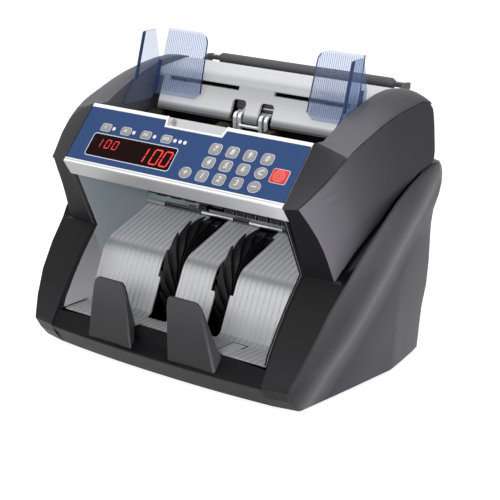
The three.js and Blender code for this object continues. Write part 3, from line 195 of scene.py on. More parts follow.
materials = {
    "charcoal": mouldedPlastic("charcoalAbs", "#29282b", 0.42, "#2e2d30", level=0.2),
    # painted sheen: the shell's grey is painted light at the tip beside the panel and deepens to the back,
    # and is painted lighter low down against the skirt's shadow
    "shell": paintedLightAlong("shellPaintedSheen", (0, 1, 0.5), 76, 250, [
        (0, "#6c6a6f"), (0.05, "#69676d"), (0.24, "#58575c"), (0.345, "#48474b"), (0.48, "#39383c"),
        (0.6, "#2e2d31"), (0.75, "#232226"), (1, "#1c1b1e")], 0.42, level=0.15),
    # painted highlight: the skirt is painted lighter along the soft fold that runs down and forward from its
    # top, and darker behind it
    "skirt": paintedLightAlong("skirtPaintedHighlight", (0, -0.875, 1), -59, 65, [
        (0, "#4b4a4f"), (0.3, "#3d3c40"), (0.43, "#59575b"), (0.484, "#6b696c"), (0.54, "#565559"),
        (0.62, "#3b3a3e"), (0.72, "#2a292c"), (0.85, "#2a292c"), (1, "#373638")], 0.42, level=0.15),
    # painted shade: a near black for the facets that turn forward and down and for sheets inside, where shade
    # falls; the floor pad's frame takes it too
    "facet": mouldedPlastic("blackAbsAndPaintedShade", "#0e0c0f", 0.5, "#100e10", level=0.12),
    # painted shade: the cap's grey is painted darker towards the back
    "cap": paintedLightAlong("capPaintedShade", backward, 40, 165, [
        (0, "#5a595e"), (0.3, "#535257"), (0.6, "#3f3e42"), (1, "#2e2d31")], 0.4, level=0.2),
    # painted shade: the cap's front strip, the same moulding as the cap, is painted darker, darkest at its
    # top
    "capFront": paintedLightAlong("capFrontPaintedShade", upward, 163, 206, [
        (0, "#302f32"), (0.4, "#232225"), (1, "#1b1a1c")], 0.42, level=0.2),
    "black": mouldedPlastic("blackAbs", "#171518", 0.42, "#1b191c"),
    "blade": mouldedPlastic("bladeAbs", "#151315", 0.42, "#1a181a", level=0.22),
    "base": mouldedPlastic("baseAbs", "#111012", 0.42, "#141315", level=0.15),
    # painted shade: the bed inside the lip is painted darker than the tray
    "bed": mouldedPlastic("bedPaintedShade", "#0d0b0d", 0.5, "#110f11", level=0.1),
    # painted light and shade: the stops' fronts are painted dark at the foot and lighter towards the top
    "stop": paintedLightAlong("stopPaintedShade", upward, 21, 79, [
        (0, "#0f0e10"), (0.5, "#1c1a1d"), (1, "#323033")], 0.42),
    # painted light: the stops' right flanks are a lit copy of their finish, painted lighter at the foot
    "stopSide": paintedLightAlong("stopSidePaintedLight", upward, 21, 79, [
        (0, "#504e52"), (0.5, "#3c3a3d"), (1, "#262528")], 0.42),
    "handle": mouldedPlastic("handleRubber", "#4a494c", 0.5, "#514f52"),
    "liner": mouldedPlastic("linerAbs", "#98a3a9", 0.4, "#a0aab0"),
    # the lower pocket wall's own pale grey, with painted light that makes it lighter towards the bottom
    "linerWing": paintedLightAlong("linerWingPaintedLight", upward, 35, 99, [
        (0, "#b4b3b6"), (0.35, "#a09fa3"), (1, "#858388")], 0.4),
    "silver": coatedSilver("silverLacquer", "#c4c4c6", 0.3),
    # painted reflection: the chin's lacquer is painted with the desk's reflection, brightest at its right end
    "chin": paintedLightAlong("chinPaintedReflection", acrossX, -117, 117, [
        (0, "#aeaeb0"), (0.4, "#a2a1a4"), (0.7, "#bebec0"), (0.9, "#d8d8da"), (1, "#f4f4f6")], 0.32, 0.35),
    "trim": mouldedPlastic("whiteTrim", "#e6e6e8", 0.35, "#ececee"),
    # painted reflection and shade: the hopper plate is painted dark at its foot, where it rolls under towards
    # the dark gap, brightest just above, greyer upwards and painted light again at its top edge
    "hopper": paintedLightAlong("hopperPaintedReflection", upward, 194.5, 225.5, [
        (0, "#6c6c6f"), (0.07, "#98989b"), (0.13, "#cdcdcf"), (0.3, "#c6c6c8"), (0.55, "#b4b4b6"),
        (0.8, "#a9a9ab"), (0.94, "#acacae"), (0.985, "#d0d0d2")], 0.32, 0.1),
    # painted shade: the leg's front is painted darker towards the top, under the shell's overhang
    "legFacet": paintedLightAlong("legFacetPaintedShade", upward, 10, 100, [
        (0, "#1a191b"), (0.2, "#1d1c1e"), (0.5, "#131214"), (1, "#0b090b")], 0.42, level=0.15),
    "film": mouldedPlastic("printedPolyesterFilm", "#273f69", 0.5, "#2a426d", grainMm=0.3, grain=0.06,
                           level=0.15),
    "print": mouldedPlastic("whiteScreenPrint", "#d4d4d6", 0.5, "#dcdcde"),
    "outline": mouldedPlastic("greyScreenPrint", "#c4c4c8", 0.5, "#ccccd0"),
    "key": mouldedPlastic("keySiliconeRubber", "#888687", 0.55, "#8e8c8d"),
    "redKey": mouldedPlastic("redSiliconeRubber", "#c5302c", 0.5, "#cc3833"),
    "redPrint": mouldedPlastic("paleRedPrint", "#e08a84", 0.5, "#e2928c"),
    "smoke": mouldedPlastic("smokedAcrylic", "#150605", 0.15, "#180706", grain=0.0, level=0.04),
    "glow": glowing("redLightBars", "#cf2a27", 0.62),
    # satin aluminium bent over a roll, with a painted highlight below the bend and a soft painted shade above
    # it
    "ribbed": paintedLightAlong("ribbedAluminiumPaintedHighlight", upward, 35, 105, [
        (0, "#a2a2a4"), (0.2, "#b0b0b2"), (0.34, "#c2c2c4"), (0.56, "#c4c4c6"), (0.63, "#b0b0b2"),
        (0.67, "#929295"), (0.69, "#949497"), (0.73, "#bebdc0"), (0.8, "#c0bfc2"),
        (1, "#b2b1b3")], 0.36, 0.2),
    # painted light: the pressed grooves are painted pale on the upper ramp and darker on the steep part
    "groove": paintedLightAlong("groovePaintedLight", upward, 35, 105, [
        (0, "#808082"), (0.25, "#929294"), (0.56, "#9c9c9e"), (0.64, "#8c8c8e"), (0.69, "#909092"),
        (0.73, "#e0e0e2"), (0.8, "#eeeef0"), (1, "#dcdcde")], 0.4, 0.2),
    "flange": brushedMetal("satinSteelFlange", "#8c8c90", 0.45, (0.03, 1, 1), 0.3, 0.1, 0.6),
    "chrome": brushedMetal("polishedChrome", "#e6e6e8", 0.14, (1, 0.2, 0.2), 0.4, 0.05, 0.85),
    "steel": brushedMetal("zincPlatedSteel", "#8f9194", 0.35),
    "guide": clearAcrylic("clearBlueAcrylic", "#f2f5fa", "#909dbe", 0.11),
    "guideRib": clearAcrylic("clearBlueRib", "#eaeff6", "#8f9cbc", 0.12),
    "guideEdge": mouldedPlastic("darkAcrylicEdge", "#26325a", 0.3, "#2c3960", grain=0.0, level=0.15),
    "lens": mouldedPlastic("sensorLens", "#6f797c", 0.15, "#8d9799", grain=0.0, level=0.5),
    "rubber": mouldedPlastic("blackRubber", "#1b1b1c", 0.75, "#222223", grainMm=0.8, grain=0.3, level=0.2),
    "roller": mouldedPlastic("oliveRubber", "#211f15", 0.7, "#302e20", grainMm=1.5, grain=0.5, level=0.15),
    "hook": brushedMetal("polishedHook", "#f2f2f4", 0.2, (1, 0.2, 0.2), 0.4, 0.05, 0.45),
    "guideSide": clearAcrylic("clearBlueSide", "#ccd5e6", "#8797bb", 0.16),
    "board": mouldedPlastic("glassEpoxyBoard", "#1f5a38", 0.5, "#24633e"),
    "iron": mouldedPlastic("varnishedIron", "#5a4436", 0.5, "#6a5140"),
}
print("materials made:", len(materials))


def finishPiece(name, bm, material, body, smooth=35, bevelMm=0.0, segments=2, place=toRow, others=()):
    # writes a bmesh to a piece that rides on a body; place brings it into the object's frame
    bmesh.ops.remove_doubles(bm, verts=bm.verts, dist=1e-4 if place is toRow else 1e-7)
    bm.transform(place)
    mesh = bpy.data.meshes.new(name)
    bm.to_mesh(mesh)
    bm.free()
    piece = bpy.data.objects.new(name, mesh)
    bpy.context.collection.objects.link(piece)
    for finish in (material,) + others:
        mesh.materials.append(materials[finish])
    mesh.shade_smooth()
    mesh.set_sharp_from_angle(angle=math.radians(smooth))
    if bevelMm:
        bevel = piece.modifiers.new("edge", "BEVEL")
        bevel.width = bevelMm * 0.001
        bevel.segments = segments
        bevel.limit_method = "ANGLE"
        bevel.angle_limit = math.radians(smooth)
        bevel.harden_normals = True
        even = piece.modifiers.new("shading", "WEIGHTED_NORMAL")
        even.keep_sharp = True
    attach(piece, body)
    return piece


def dressNode(node, name, material, body, bevelMm, smooth, segments=2, others=(), chooser=None, cuts=()):
    # a softened copy of a CAD solid; a chooser picks each face's finish, cuts part the faces for it
    bm = bmesh.new()
    bm.from_mesh(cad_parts[node].data)
    bmesh.ops.remove_doubles(bm, verts=bm.verts, dist=2e-6)
    bmesh.ops.dissolve_limit(bm, angle_limit=math.radians(0.05), verts=bm.verts, edges=bm.edges)
    bmesh.ops.join_triangles(bm, faces=[f for f in bm.faces if len(f.verts) == 3],
                             cmp_seam=False, cmp_sharp=False, cmp_uvs=False, cmp_vcols=False,
                             cmp_materials=False, angle_face_threshold=math.radians(12),
                             angle_shape_threshold=math.radians(60))
    for point, normal in cuts:
        bmesh.ops.bisect_plane(bm, geom=bm.verts[:] + bm.edges[:] + bm.faces[:],
                               plane_co=toRow @ Vector(point), plane_no=normal)
    if chooser:
        bm.normal_update()
        for face in bm.faces:
            face.material_index = int(chooser(fromRow @ face.calc_center_median(), face.normal))
    piece = finishPiece(name, bm, material, body, smooth, bevelMm, segments, Matrix.Identity(4), others)
    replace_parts(piece, node)


def slab(bm, low, high):
    # a block between two corners
    made = bmesh.ops.create_cube(bm, size=1.0)
    size = [b - a for a, b in zip(low, high)]
    centre = [(a + b) / 2 for a, b in zip(low, high)]
    bmesh.ops.scale(bm, vec=size, verts=made["verts"])
    bmesh.ops.translate(bm, verts=made["verts"], vec=centre)
    return made["verts"]


def unique(items):
    # each item once and in order, so that every run makes the same mesh
    return list(dict.fromkeys(items))


def slabPiece(name, material, blocks, bevelMm=0.0, place=toRow):
    # a fixed piece of plain blocks, each between two corners
    bm = bmesh.new()
    for low, high in blocks:
        slab(bm, low, high)
    finishPiece(name, bm, material, "housing", bevelMm=bevelMm, place=place)


def bar(bm, radius, x0, x1, y, z, sides):
    # a round bar along X
    made = bmesh.ops.create_cone(bm, cap_ends=True, segments=sides, radius1=radius, radius2=radius,
                                 depth=x1 - x0)
    bmesh.ops.rotate(bm, verts=made["verts"], cent=(0, 0, 0),
                     matrix=Matrix.Rotation(math.radians(90), 3, "Y"))
    bmesh.ops.translate(bm, verts=made["verts"], vec=((x0 + x1) / 2, y, z))


def roundedPlate(bm, width, height, corner):
    # one flat face with rounded corners, centred on the origin
    made = bmesh.ops.create_grid(bm, x_segments=1, y_segments=1, size=0.5)
    bmesh.ops.scale(bm, vec=(width, height, 1), verts=made["verts"])
    bmesh.ops.bevel(bm, geom=made["verts"], offset=corner, offset_type="OFFSET", affect="VERTICES",
                    segments=4, profile=0.5, material=-1)
    return [f for f in bm.faces if abs(f.normal.z) > 0.9 and len(f.verts) > 4][-1]


def roundPlate(bm, width, height):
    made = bmesh.ops.create_circle(bm, cap_ends=True, segments=32, radius=0.5)
    bmesh.ops.scale(bm, vec=(width, height, 1), verts=made["verts"])
    return made["verts"][0].link_faces[0]


def lifted(bm, faces, height):
    # thickens flat faces upwards to a closed slab
    grown = bmesh.ops.extrude_face_region(bm, geom=faces)["geom"]
    bmesh.ops.translate(bm, verts=[v for v in grown if isinstance(v, bmesh.types.BMVert)], vec=(0, 0, height))
    bmesh.ops.recalc_face_normals(bm, faces=bm.faces)
    return [f for f in grown if isinstance(f, bmesh.types.BMFace)]


# the control panel and its own frame: X across, Y up its slope, Z out of its face
panel = {
    "topY": 37.8, "topZ": 204.7, "slope": 47.6, "figure": 4.8, "film": 0.15,
    "labels": {"key_7": "7", "key_8": "8", "key_9": "9", "key_0": "0", "key_4": "4", "key_5": "5",
               "key_6": "6", "key_clear": "C", "key_1": "1", "key_2": "2", "key_3": "3", "key_add": "+"},
    "round": ("key_clear", "key_batch", "key_add"),
    "lamps": [-81, -58.5, -35.5, -13.2, -7.6, -2.4],
    "lampDown": 20.7, "lampRadius": 1.75, "lampFlat": 0.35, "lampLift": 0.16,
    "display": {"across": -51.9, "down": 37.8, "width": 94, "height": 22.2, "corner": 2.8, "line": 0.7},
    "border": -3.5, "notchHalf": 34, "notchFoot": -14, "band": (-58.2, -54.3), "chin": -58,
    "groove": ((-116, -56.9, 0), (116, -55.4, 0.42)),
    "mark": ((-27.3, -6.2), (-22.4, -6.2), (-23.8, -1.2), (-25.9, -1.2)), "markLift": 0.3, "markThick": 0.2,
}
slope = math.radians(panel["slope"])
toPanel = toRow @ Matrix((
    (1, 0, 0, 0),
    (0, math.cos(slope), -math.sin(slope), panel["topY"]),
    (0, math.sin(slope), math.cos(slope), panel["topZ"]),
    (0, 0, 0, 1)))
fromPanel = toPanel.inverted()


# housing: which faces take which of a piece's finishes
# front faces that turn down and forward, which take a painted shade
def isFrontFacet(at, normal):
    return normal.y < -0.55 and abs(normal.x) < 0.8


def isLegFacet(at, normal):
    # the leg's front and its narrow edge under the shell, which take a painted shade
    return isFrontFacet(at, normal) or normal.y < -0.2 and normal.z > 0.3 and abs(normal.x) < 0.3


# the stops' right flanks, which take a lit copy painted lighter
def isRightFlank(at, normal):
    return normal.x > 0.3


# the bed inside the base's lip, which takes a painted shade
def isBed(at, normal):
    return normal.z > 0.35 and at.y < 40


capTurn = {"y": 44, "x": 117, "slope": 0.06}  # the line where the cap turns down beside the panel
wing = {"y": 23.8, "z": 98.5, "slope": 0.38}  # the line where the pocket wall's upper panel ends at the leg


# the cap's front strip, which is painted darker as shade
def isCapFront(at, normal):
    return at.y < capTurn["y"] + (abs(at.x) - capTurn["x"]) * capTurn["slope"]


def linerFinish(at, normal):
    # the walls' front edges are painted black as shade, like the leg's shaded front beside them; in front of
    # the line where the upper panel ends they are pale
    if normal.y < -0.4 and abs(at.x) > 100 and abs(normal.x) < 0.3 and normal.z > -0.9:
        return 2
    return at.y < wing["y"] + (wing["z"] - at.z) * wing["slope"] and at.z < wing["z"] + 1


def bezelFinish(at, normal):
    # the bezel's white lines: the top border with the notch's rim, and the band under the film; below the
    # chin line, the chin's painted reflection
    spot = fromPanel @ toRow @ at
    low, high = panel["band"]
    inNotch = abs(spot.x) < panel["notchHalf"] and spot.y > panel["notchFoot"]
    if spot.z > -0.3 and (spot.y > panel["border"] or inNotch or low < spot.y < high):
        return 1
    return 2 if spot.y < panel["chin"] else 0


# the shell, skirt and cap carry painted light along them, and their choosers give chosen faces a painted
# shade
housing = {
    "side_cap": ("cap", "capFront", isCapFront),
    "side_shell": ("shell", "facet", isFrontFacet),
    "side_skirt": ("skirt", "legFacet", isLegFacet),
}
for side in ("right", "left"):
    for stem, (finish, other, chooser) in housing.items():
        dressNode(stem + "_" + side, "housing_" + stem[5:] + "_" + side, finish, "housing", 0.5, 24,
                  others=(other,), chooser=chooser)
    # the stops take painted light and shade on their fronts and a lighter lit copy on their right flanks
    dressNode("note_stop_" + side, "stop_" + side + "_skin", "stop", "housing", 0.5, 28, 3,
              ("stopSide",), isRightFlank)
dressNode("base_tray", "base_moulding", "base", "housing", 0.5, 24, others=("bed",), chooser=isBed)
dressNode("rear_cover", "rear_moulding", "charcoal", "housing", 0.5, 24)
dressNode("stacker_liner", "pocket_walls", "liner", "housing", 0.3, 24, 2, ("linerWing", "facet"),
          linerFinish, [((0, wing["y"], wing["z"]), (0, 1, wing["slope"]))])
dressNode("carry_handle", "handle_bar", "handle", "handle", 0.3, 30)
dressNode("hopper_plate", "hopper_back", "hopper", "housing", 0.4, 24)
dressNode("panel_bezel", "panel_frame", "silver", "housing", 0.25, 30, 2, ("trim", "chin"), bezelFinish)

# nodes whose shape is right as it stands
plainFinish = {
    "hopper_floor": "roller", "sensor_bar": "black", "panel_overlay": "film", "display_window": "smoke",
    "control_board": "board", "stacker_shaft": "steel", "pickup_roller": "roller",
    "frame_plate_right": "steel", "frame_plate_left": "steel", "main_motor": "steel",
    "motor_pulley": "steel", "feed_belt": "rubber", "stacker_belt": "rubber", "power_supply": "iron",
    "power_inlet": "black", "power_switch": "black", "foot_front_right": "rubber",
    "foot_front_left": "rubber", "foot_rear_right": "rubber", "foot_rear_left": "rubber",
}
for node, finish in plainFinish.items():
    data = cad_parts[node].data
    data.materials.clear()
    data.materials.append(materials[finish])
print("housing dressed")


# note guides: clear sheets with fine ribs on their front and a dark strip down the side plate's front
guides = {
    "ribs": 22, "first": 60.2, "pitch": 2.05, "width": 0.55, "proud": 0.3, "foot": 207, "top": 257.5,
    "face": 104.8, "lean": 0.29, "bottom": 203, "flank": 109.9, "inner": 104.8, "innerTop": 233,
    "strip": {"y": 86.9, "z": 223, "lean": 0.297, "normal": (0, 0.959, -0.285), "foot": 219},
}


def guideFinish(at, normal):
    # dark cut edges and front strip; the right guide's outer face is the deeper blue
    strip = guides["strip"]
    if abs(at.x) > guides["flank"]:
        inStrip = at.z > strip["foot"] and at.y < strip["y"] + (at.z - strip["z"]) * strip["lean"]
        if normal.y < -0.5 or normal.z > 0.6 or inStrip:
            return 1
        return 2 if at.x > 0 and normal.x > 0.7 else 0
    inward = abs(normal.x) > 0.7 and (at.x > 0 or normal.x > 0)
    return inward or abs(at.x) > guides["inner"] and at.z < guides["innerTop"]


strip = guides["strip"]
for side, sign in (("right", 1), ("left", -1)):
    dressNode("note_guide_" + side, "guide_sheet_" + side, "guide", "guide_" + side, 0.15, 30, 1,
              ("guideEdge", "guideSide"), guideFinish,
              [((0, strip["y"], strip["z"]), strip["normal"]), ((0, 0, strip["foot"]), upward)])
    bm = bmesh.new()
    for i in range(guides["ribs"]):
        x = sign * (guides["first"] + i * guides["pitch"])
        for v in slab(bm, (x - guides["width"] / 2, -guides["proud"], guides["foot"]),
                      (x + guides["width"] / 2, 0, guides["top"])):
            v.co.y += guides["face"] + guides["lean"] * (v.co.z - guides["bottom"])
    finishPiece("guide_ribs_" + side, bm, "guideRib", "guide_" + side)
print("guides made")


# fan wheels: each blade is swept from the hub in steps, its free end cut aslant
wheels = {
    "centres": {"right": 30, "left": -30}, "y": 76.4, "z": 58.2, "radius": 50.2, "hub": 12, "hubProud": 0.8,
    "root": 10.5, "growth": 0.85, "blades": 17, "sweep": 3.6, "tipAngle": 142, "half": 6, "thick": 1.1,
    "steps": 36, "tipFrom": 0.84, "tipWidth": 1.5,
}


def bladeRadius(share):
    # distance from the axis at a share of the blade's length
    return wheels["root"] + (wheels["radius"] - wheels["root"]) * share ** wheels["growth"]


def fanWheel(name, centre):
    bm = bmesh.new()
    w = wheels
    hubPoint = Vector((centre, w["y"], w["z"]))
    start = math.radians(w["tipAngle"]) + w["sweep"]
    foot = [bm.verts.new((x, w["y"] + w["root"] * math.cos(start), w["z"] + w["root"] * math.sin(start)))
            for x in (centre - w["half"], centre + w["half"])]
    edge = bm.edges.new(foot)
    turn = Matrix.Rotation(-w["sweep"] / w["steps"], 3, "X")
    for k in range(1, w["steps"] + 1):
        grown = bmesh.ops.extrude_edge_only(bm, edges=[edge])["geom"]
        verts = [v for v in grown if isinstance(v, bmesh.types.BMVert)]
        edge = [e for e in grown if isinstance(e, bmesh.types.BMEdge)][0]
        bmesh.ops.rotate(bm, verts=verts, cent=hubPoint, matrix=turn)
        growth = bladeRadius(k / w["steps"]) / bladeRadius((k - 1) / w["steps"])
        bmesh.ops.scale(bm, vec=(1, growth, growth), verts=verts, space=Matrix.Translation(-hubPoint))
        past = (k / w["steps"] - w["tipFrom"]) / (1 - w["tipFrom"])
        if past > 0:  # the slanted end leaves a narrow tip at the left
            right = max(verts, key=lambda v: v.co.x)
            right.co.x = centre + w["half"] - past * (2 * w["half"] - w["tipWidth"])
    bmesh.ops.recalc_face_normals(bm, faces=bm.faces)
    bmesh.ops.solidify(bm, geom=bm.faces[:], thickness=w["thick"])
    bmesh.ops.spin(bm, geom=bm.verts[:] + bm.edges[:] + bm.faces[:], cent=hubPoint, axis=acrossX,
                   use_duplicate=True, angle=2 * math.pi * (w["blades"] - 1) / w["blades"],
                   steps=w["blades"] - 1)
    hubHalf = w["half"] + w["hubProud"]
    bar(bm, w["hub"], centre - hubHalf, centre + hubHalf, w["y"], w["z"], 40)
    bmesh.ops.recalc_face_normals(bm, faces=bm.faces)
    return finishPiece(name, bm, "blade", "stacker", 40, 0.2, 1)


for side, centre in wheels["centres"].items():
    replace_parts(fanWheel("fan_wheel_" + side, centre), "stacker_wheel_" + side)
print("fan wheels made")


# ribbed stacker plate: paths are (y, z) points from the head down to the floor
plate = {
    "edge": 109.3, "slot": (17.3, 41.4), "notch": 33.4, "pitch": 5.7, "grooveHalf": 0.4, "depth": 0.28,
    "thick": 1.3, "head": (96, 104.6), "headSlope": 0.354, "ramp": [(80, 98.93), (64, 93.27)],
    "bend": ((48, 87.6), (41, 85.2), (37.4, 79.6), (34.8, 74)), "bendSteps": 12, "fall": [(26.4, 55.7)],
    "foot": [(18, 37.4), (15.4, 35.9), (12.4, 35)],
    "floor": [(13, 35), (4, 35), (-1.8, 35), (-7, 35), (-12.2, 35)],
    "footTabs": ((38.4, 41.5), (-41.5, -38.4), (17.2, 22.4)), "footTabTop": [(31.1, 66)],
    "headTabs": ((37.8, 41.5), (-41.5, -37.8)), "headTabFoot": [(92, 103.2), (88, 101.8)],
    "flaps": ((90, 98.9), (95, 100.2)),
}


def bezier(points, t):
    a, b, c, d = points
    u = 1 - t
    return tuple(u ** 3 * a[i] + 3 * u * u * t * b[i] + 3 * u * t * t * c[i] + t ** 3 * d[i] for i in (0, 1))


def ribbedSheet(bm, xs, grooves, path):
    # a grid laid over the path; columns named in grooves are pressed in, then it is thickened downwards
    columns = sorted(xs)
    bmesh.ops.create_grid(bm, x_segments=len(columns) - 1, y_segments=len(path) - 1, size=1)
    bm.verts.ensure_lookup_table()
    fresh = bm.verts[-len(columns) * len(path):]
    for i, v in enumerate(fresh):
        row, column = divmod(i, len(columns))
        before, after = path[max(row - 1, 0)], path[min(row + 1, len(path) - 1)]
        along = Vector((after[0] - before[0], after[1] - before[1])).normalized()
        out = -plate["depth"] if columns[column] in grooves else 0
        v.co = (columns[column], path[row][0] + along.y * out, path[row][1] - along.x * out)
    faces = unique(f for v in fresh for f in v.link_faces)
    bm.normal_update()
    if sum(f.normal.z * f.calc_area() for f in faces) < 0:
        bmesh.ops.reverse_faces(bm, faces=faces)
    for face in faces:
        face.material_index = int(any(round(v.co.x, 3) in grooves for v in face.verts))
    bmesh.ops.solidify(bm, geom=faces, thickness=plate["thick"])


def ribbedLane(bm, x0, x1, path):
    # a lane between two edges, with three columns for each groove
    count = max(1, round((x1 - x0) / plate["pitch"]))
    pitch = (x1 - x0) / count
    centres = [round(x0 + (i + 0.5) * pitch, 3) for i in range(count)]
    sides = [round(c + s * plate["grooveHalf"], 3) for c in centres for s in (-1, 1)]
    ribbedSheet(bm, [x0, x1] + centres + sides, set(centres), path)


bend = [bezier(plate["bend"], k / plate["bendSteps"]) for k in range(plate["bendSteps"] + 1)]
rampPath = [plate["head"]] + plate["ramp"] + bend + plate["fall"] + plate["foot"]
floorPath = plate["floor"]
inner, outer = plate["slot"]
edge, notch = plate["edge"], plate["notch"]
bm = bmesh.new()
for x0, x1 in ((-edge, -outer), (-inner, inner), (outer, edge)):
    ribbedLane(bm, x0, x1, rampPath)
# the floor ends earlier in the middle, behind the finger notch
for x0, x1, path in ((-edge, -notch - 0.1, floorPath), (-notch, notch, floorPath[:3]),
                     (notch + 0.1, edge, floorPath)):
    ribbedLane(bm, x0, x1, path)
# plain tabs narrow the slots at the foot and at the head
for ends, path in ((plate["footTabs"], plate["footTabTop"] + plate["foot"]),
                   (plate["headTabs"], [plate["head"]] + plate["headTabFoot"])):
    for tab in ends:
        ribbedSheet(bm, tab, set(), path)
flapLow, flapHigh = plate["flaps"]
slab(bm, (outer, *flapLow), (edge, *flapHigh))
slab(bm, (-edge, *flapLow), (-outer, *flapHigh))
sheet = finishPiece("ribbed_plate", bm, "ribbed", "housing", 28, others=("groove",))
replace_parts(sheet, "stacker_plate")

# a small square pad in a dark frame at the foot of the right lane
floorPad = {
    "pad": [((58, -11.5, 35), (71.5, 11.2, 35.25))],
    "frame": [((56.9, -11.5, 35), (58, 12.3, 35.2)), ((56.9, 11.2, 35), (72.6, 12.3, 35.2)),
              ((71.5, 4, 35), (72.6, 12.3, 35.2))],
}
slabPiece("floor_pad", "silver", floorPad["pad"], 0.1)
slabPiece("floor_pad_frame", "facet", floorPad["frame"])

# light U brackets and dark heads under the slots, drawn flat as (x0, x1, y0, y1) and laid on the slope
slotHeads = {
    "shifts": (0, 58.4), "bracketThick": 0.6, "bracketDrop": 1.2, "headThick": 1, "headDrop": 1.9,
    "brackets": ((-36.4, -35.5, 83.4, 87.8), (-36.4, -22.6, 87.3, 88.2), (-36.4, -29, 83.4, 84.3),
                 (-29.8, -29, 84.3, 86.6)),
    "heads": ((-41.4, -22.4, 80.5, 95.5), (22.4, 41.4, 80.5, 95.5)),
}


def slopedSlab(bm, x0, x1, y0, y1, thickness, drop):
    # a block that follows the plate's upper slope, a little below it
    for v in slab(bm, (x0, y0, -thickness), (x1, y1, 0)):
        v.co.z += plate["head"][1] - (plate["head"][0] - v.co.y) * plate["headSlope"] - drop


bm = bmesh.new()
for shift in slotHeads["shifts"]:
    for x0, x1, y0, y1 in slotHeads["brackets"]:
        slopedSlab(bm, x0 + shift, x1 + shift, y0, y1, slotHeads["bracketThick"], slotHeads["bracketDrop"])
finishPiece("slot_brackets", bm, "flange", "housing")
bm = bmesh.new()
for x0, x1, y0, y1 in slotHeads["heads"]:
    slopedSlab(bm, x0, x1, y0, y1, slotHeads["headThick"], slotHeads["headDrop"])
finishPiece("slot_heads", bm, "black", "housing")
print("stacker plate made")


# note exit: chrome lands, black clips between them, a steel flange and the sensor comb above;
# a clip's parts are an inset from its ends and two (y, z) corners
exitRow = {
    "y": 94.6, "z": 107.7, "radius": 2.0, "lands": ((-109, -88), (-44.8, -9.4), (8.4, 44), (88, 109)),
    "clips": ((-88, -44.8), (-9.4, 8.4), (44, 57.5)),
    "clipParts": ((0.3, (93.2, 106.1), (96.5, 109.8)), (2.2, (92.7, 107.3), (93.3, 108.6))),
    "clipLines": ((1.2, (92.95, 106.4), (93.35, 106.8)), (1.2, (92.95, 109.0), (93.35, 109.4))),
    "sensorClip": [((-60, 93.6, 110.9), (-52, 94.6, 112)), ((-49, 93.6, 109.7), (-40, 94.6, 113.5)),
                   ((-47, 93.6, 111), (-44, 94.6, 112))],
}
bm = bmesh.new()
for x0, x1 in exitRow["lands"]:
    bar(bm, exitRow["radius"], x0, x1, exitRow["y"], exitRow["z"], 28)
lands = finishPiece("exit_lands", bm, "chrome", "housing", 40, 0.15)
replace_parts(lands, "exit_guide")


def clipBlocks(parts):
    return [((x0 + inset, *low), (x1 - inset, *high))
            for x0, x1 in exitRow["clips"] for inset, low, high in parts]


slabPiece("exit_clips", "black", clipBlocks(exitRow["clipParts"]), 0.35)
slabPiece("exit_clip_lines", "flange", clipBlocks(exitRow["clipLines"]))

# flat strips between two (y, z) lines, their faces towards the front
strips = {
    "exit_flange": {"finish": "flange", "ends": (-37.5, 109), "low": (94.6, 109.4), "high": (94.2, 111.5),
                    "thick": 1.2, "edge": 0.2},
    "sensor_lens": {"finish": "lens", "ends": (-109, -48), "low": (94.8, 109.5), "high": (93.6, 115.5),
                    "thick": 1.5, "edge": 0.3},
}
for name, strip in strips.items():
    (x0, x1), low, high = strip["ends"], strip["low"], strip["high"]
    bm = bmesh.new()
    for v in slab(bm, (x0, 0, 0), (x1, strip["thick"], 1)):
        back, t = v.co.y, v.co.z
        v.co.y = low[0] + (high[0] - low[0]) * t + back
        v.co.z = low[1] + (high[1] - low[1]) * t
    finishPiece(name, bm, strip["finish"], "housing", bevelMm=strip["edge"])
slabPiece("sensor_clip", "black", exitRow["sensorClip"], 0.2)

comb = {"first": -18, "pitch": 12.3, "width": 9.4, "y": 92.6, "low": 111.7, "high": 116.2, "count": 8,
        "line": 0.4, "lineDepth": 0.6, "endGap": 0.6, "footGap": 0.3, "padFront": 0.2, "padDepth": 4}
combPads, combLines = [], []
for i in range(comb["count"]):
    x0 = comb["first"] + i * comb["pitch"]
    x1 = x0 + comb["width"]
    y, low, high, line = comb["y"], comb["low"], comb["high"], comb["line"]
    back, foot, top = y + comb["lineDepth"], low + comb["footGap"], high - comb["endGap"]
    combPads.append(((x0, y + comb["padFront"], low), (x1, y + comb["padDepth"], high)))
    combLines += [((x0 + comb["endGap"], y, low), (x1 - comb["endGap"], back, low + line)),
                  ((x0, y, foot), (x0 + line, back, top)), ((x1 - line, y, foot), (x1, back, top))]
slabPiece("comb_pads", "black", combPads, 0.5)
slabPiece("comb_lines", "flange", combLines)
print("note exit made")


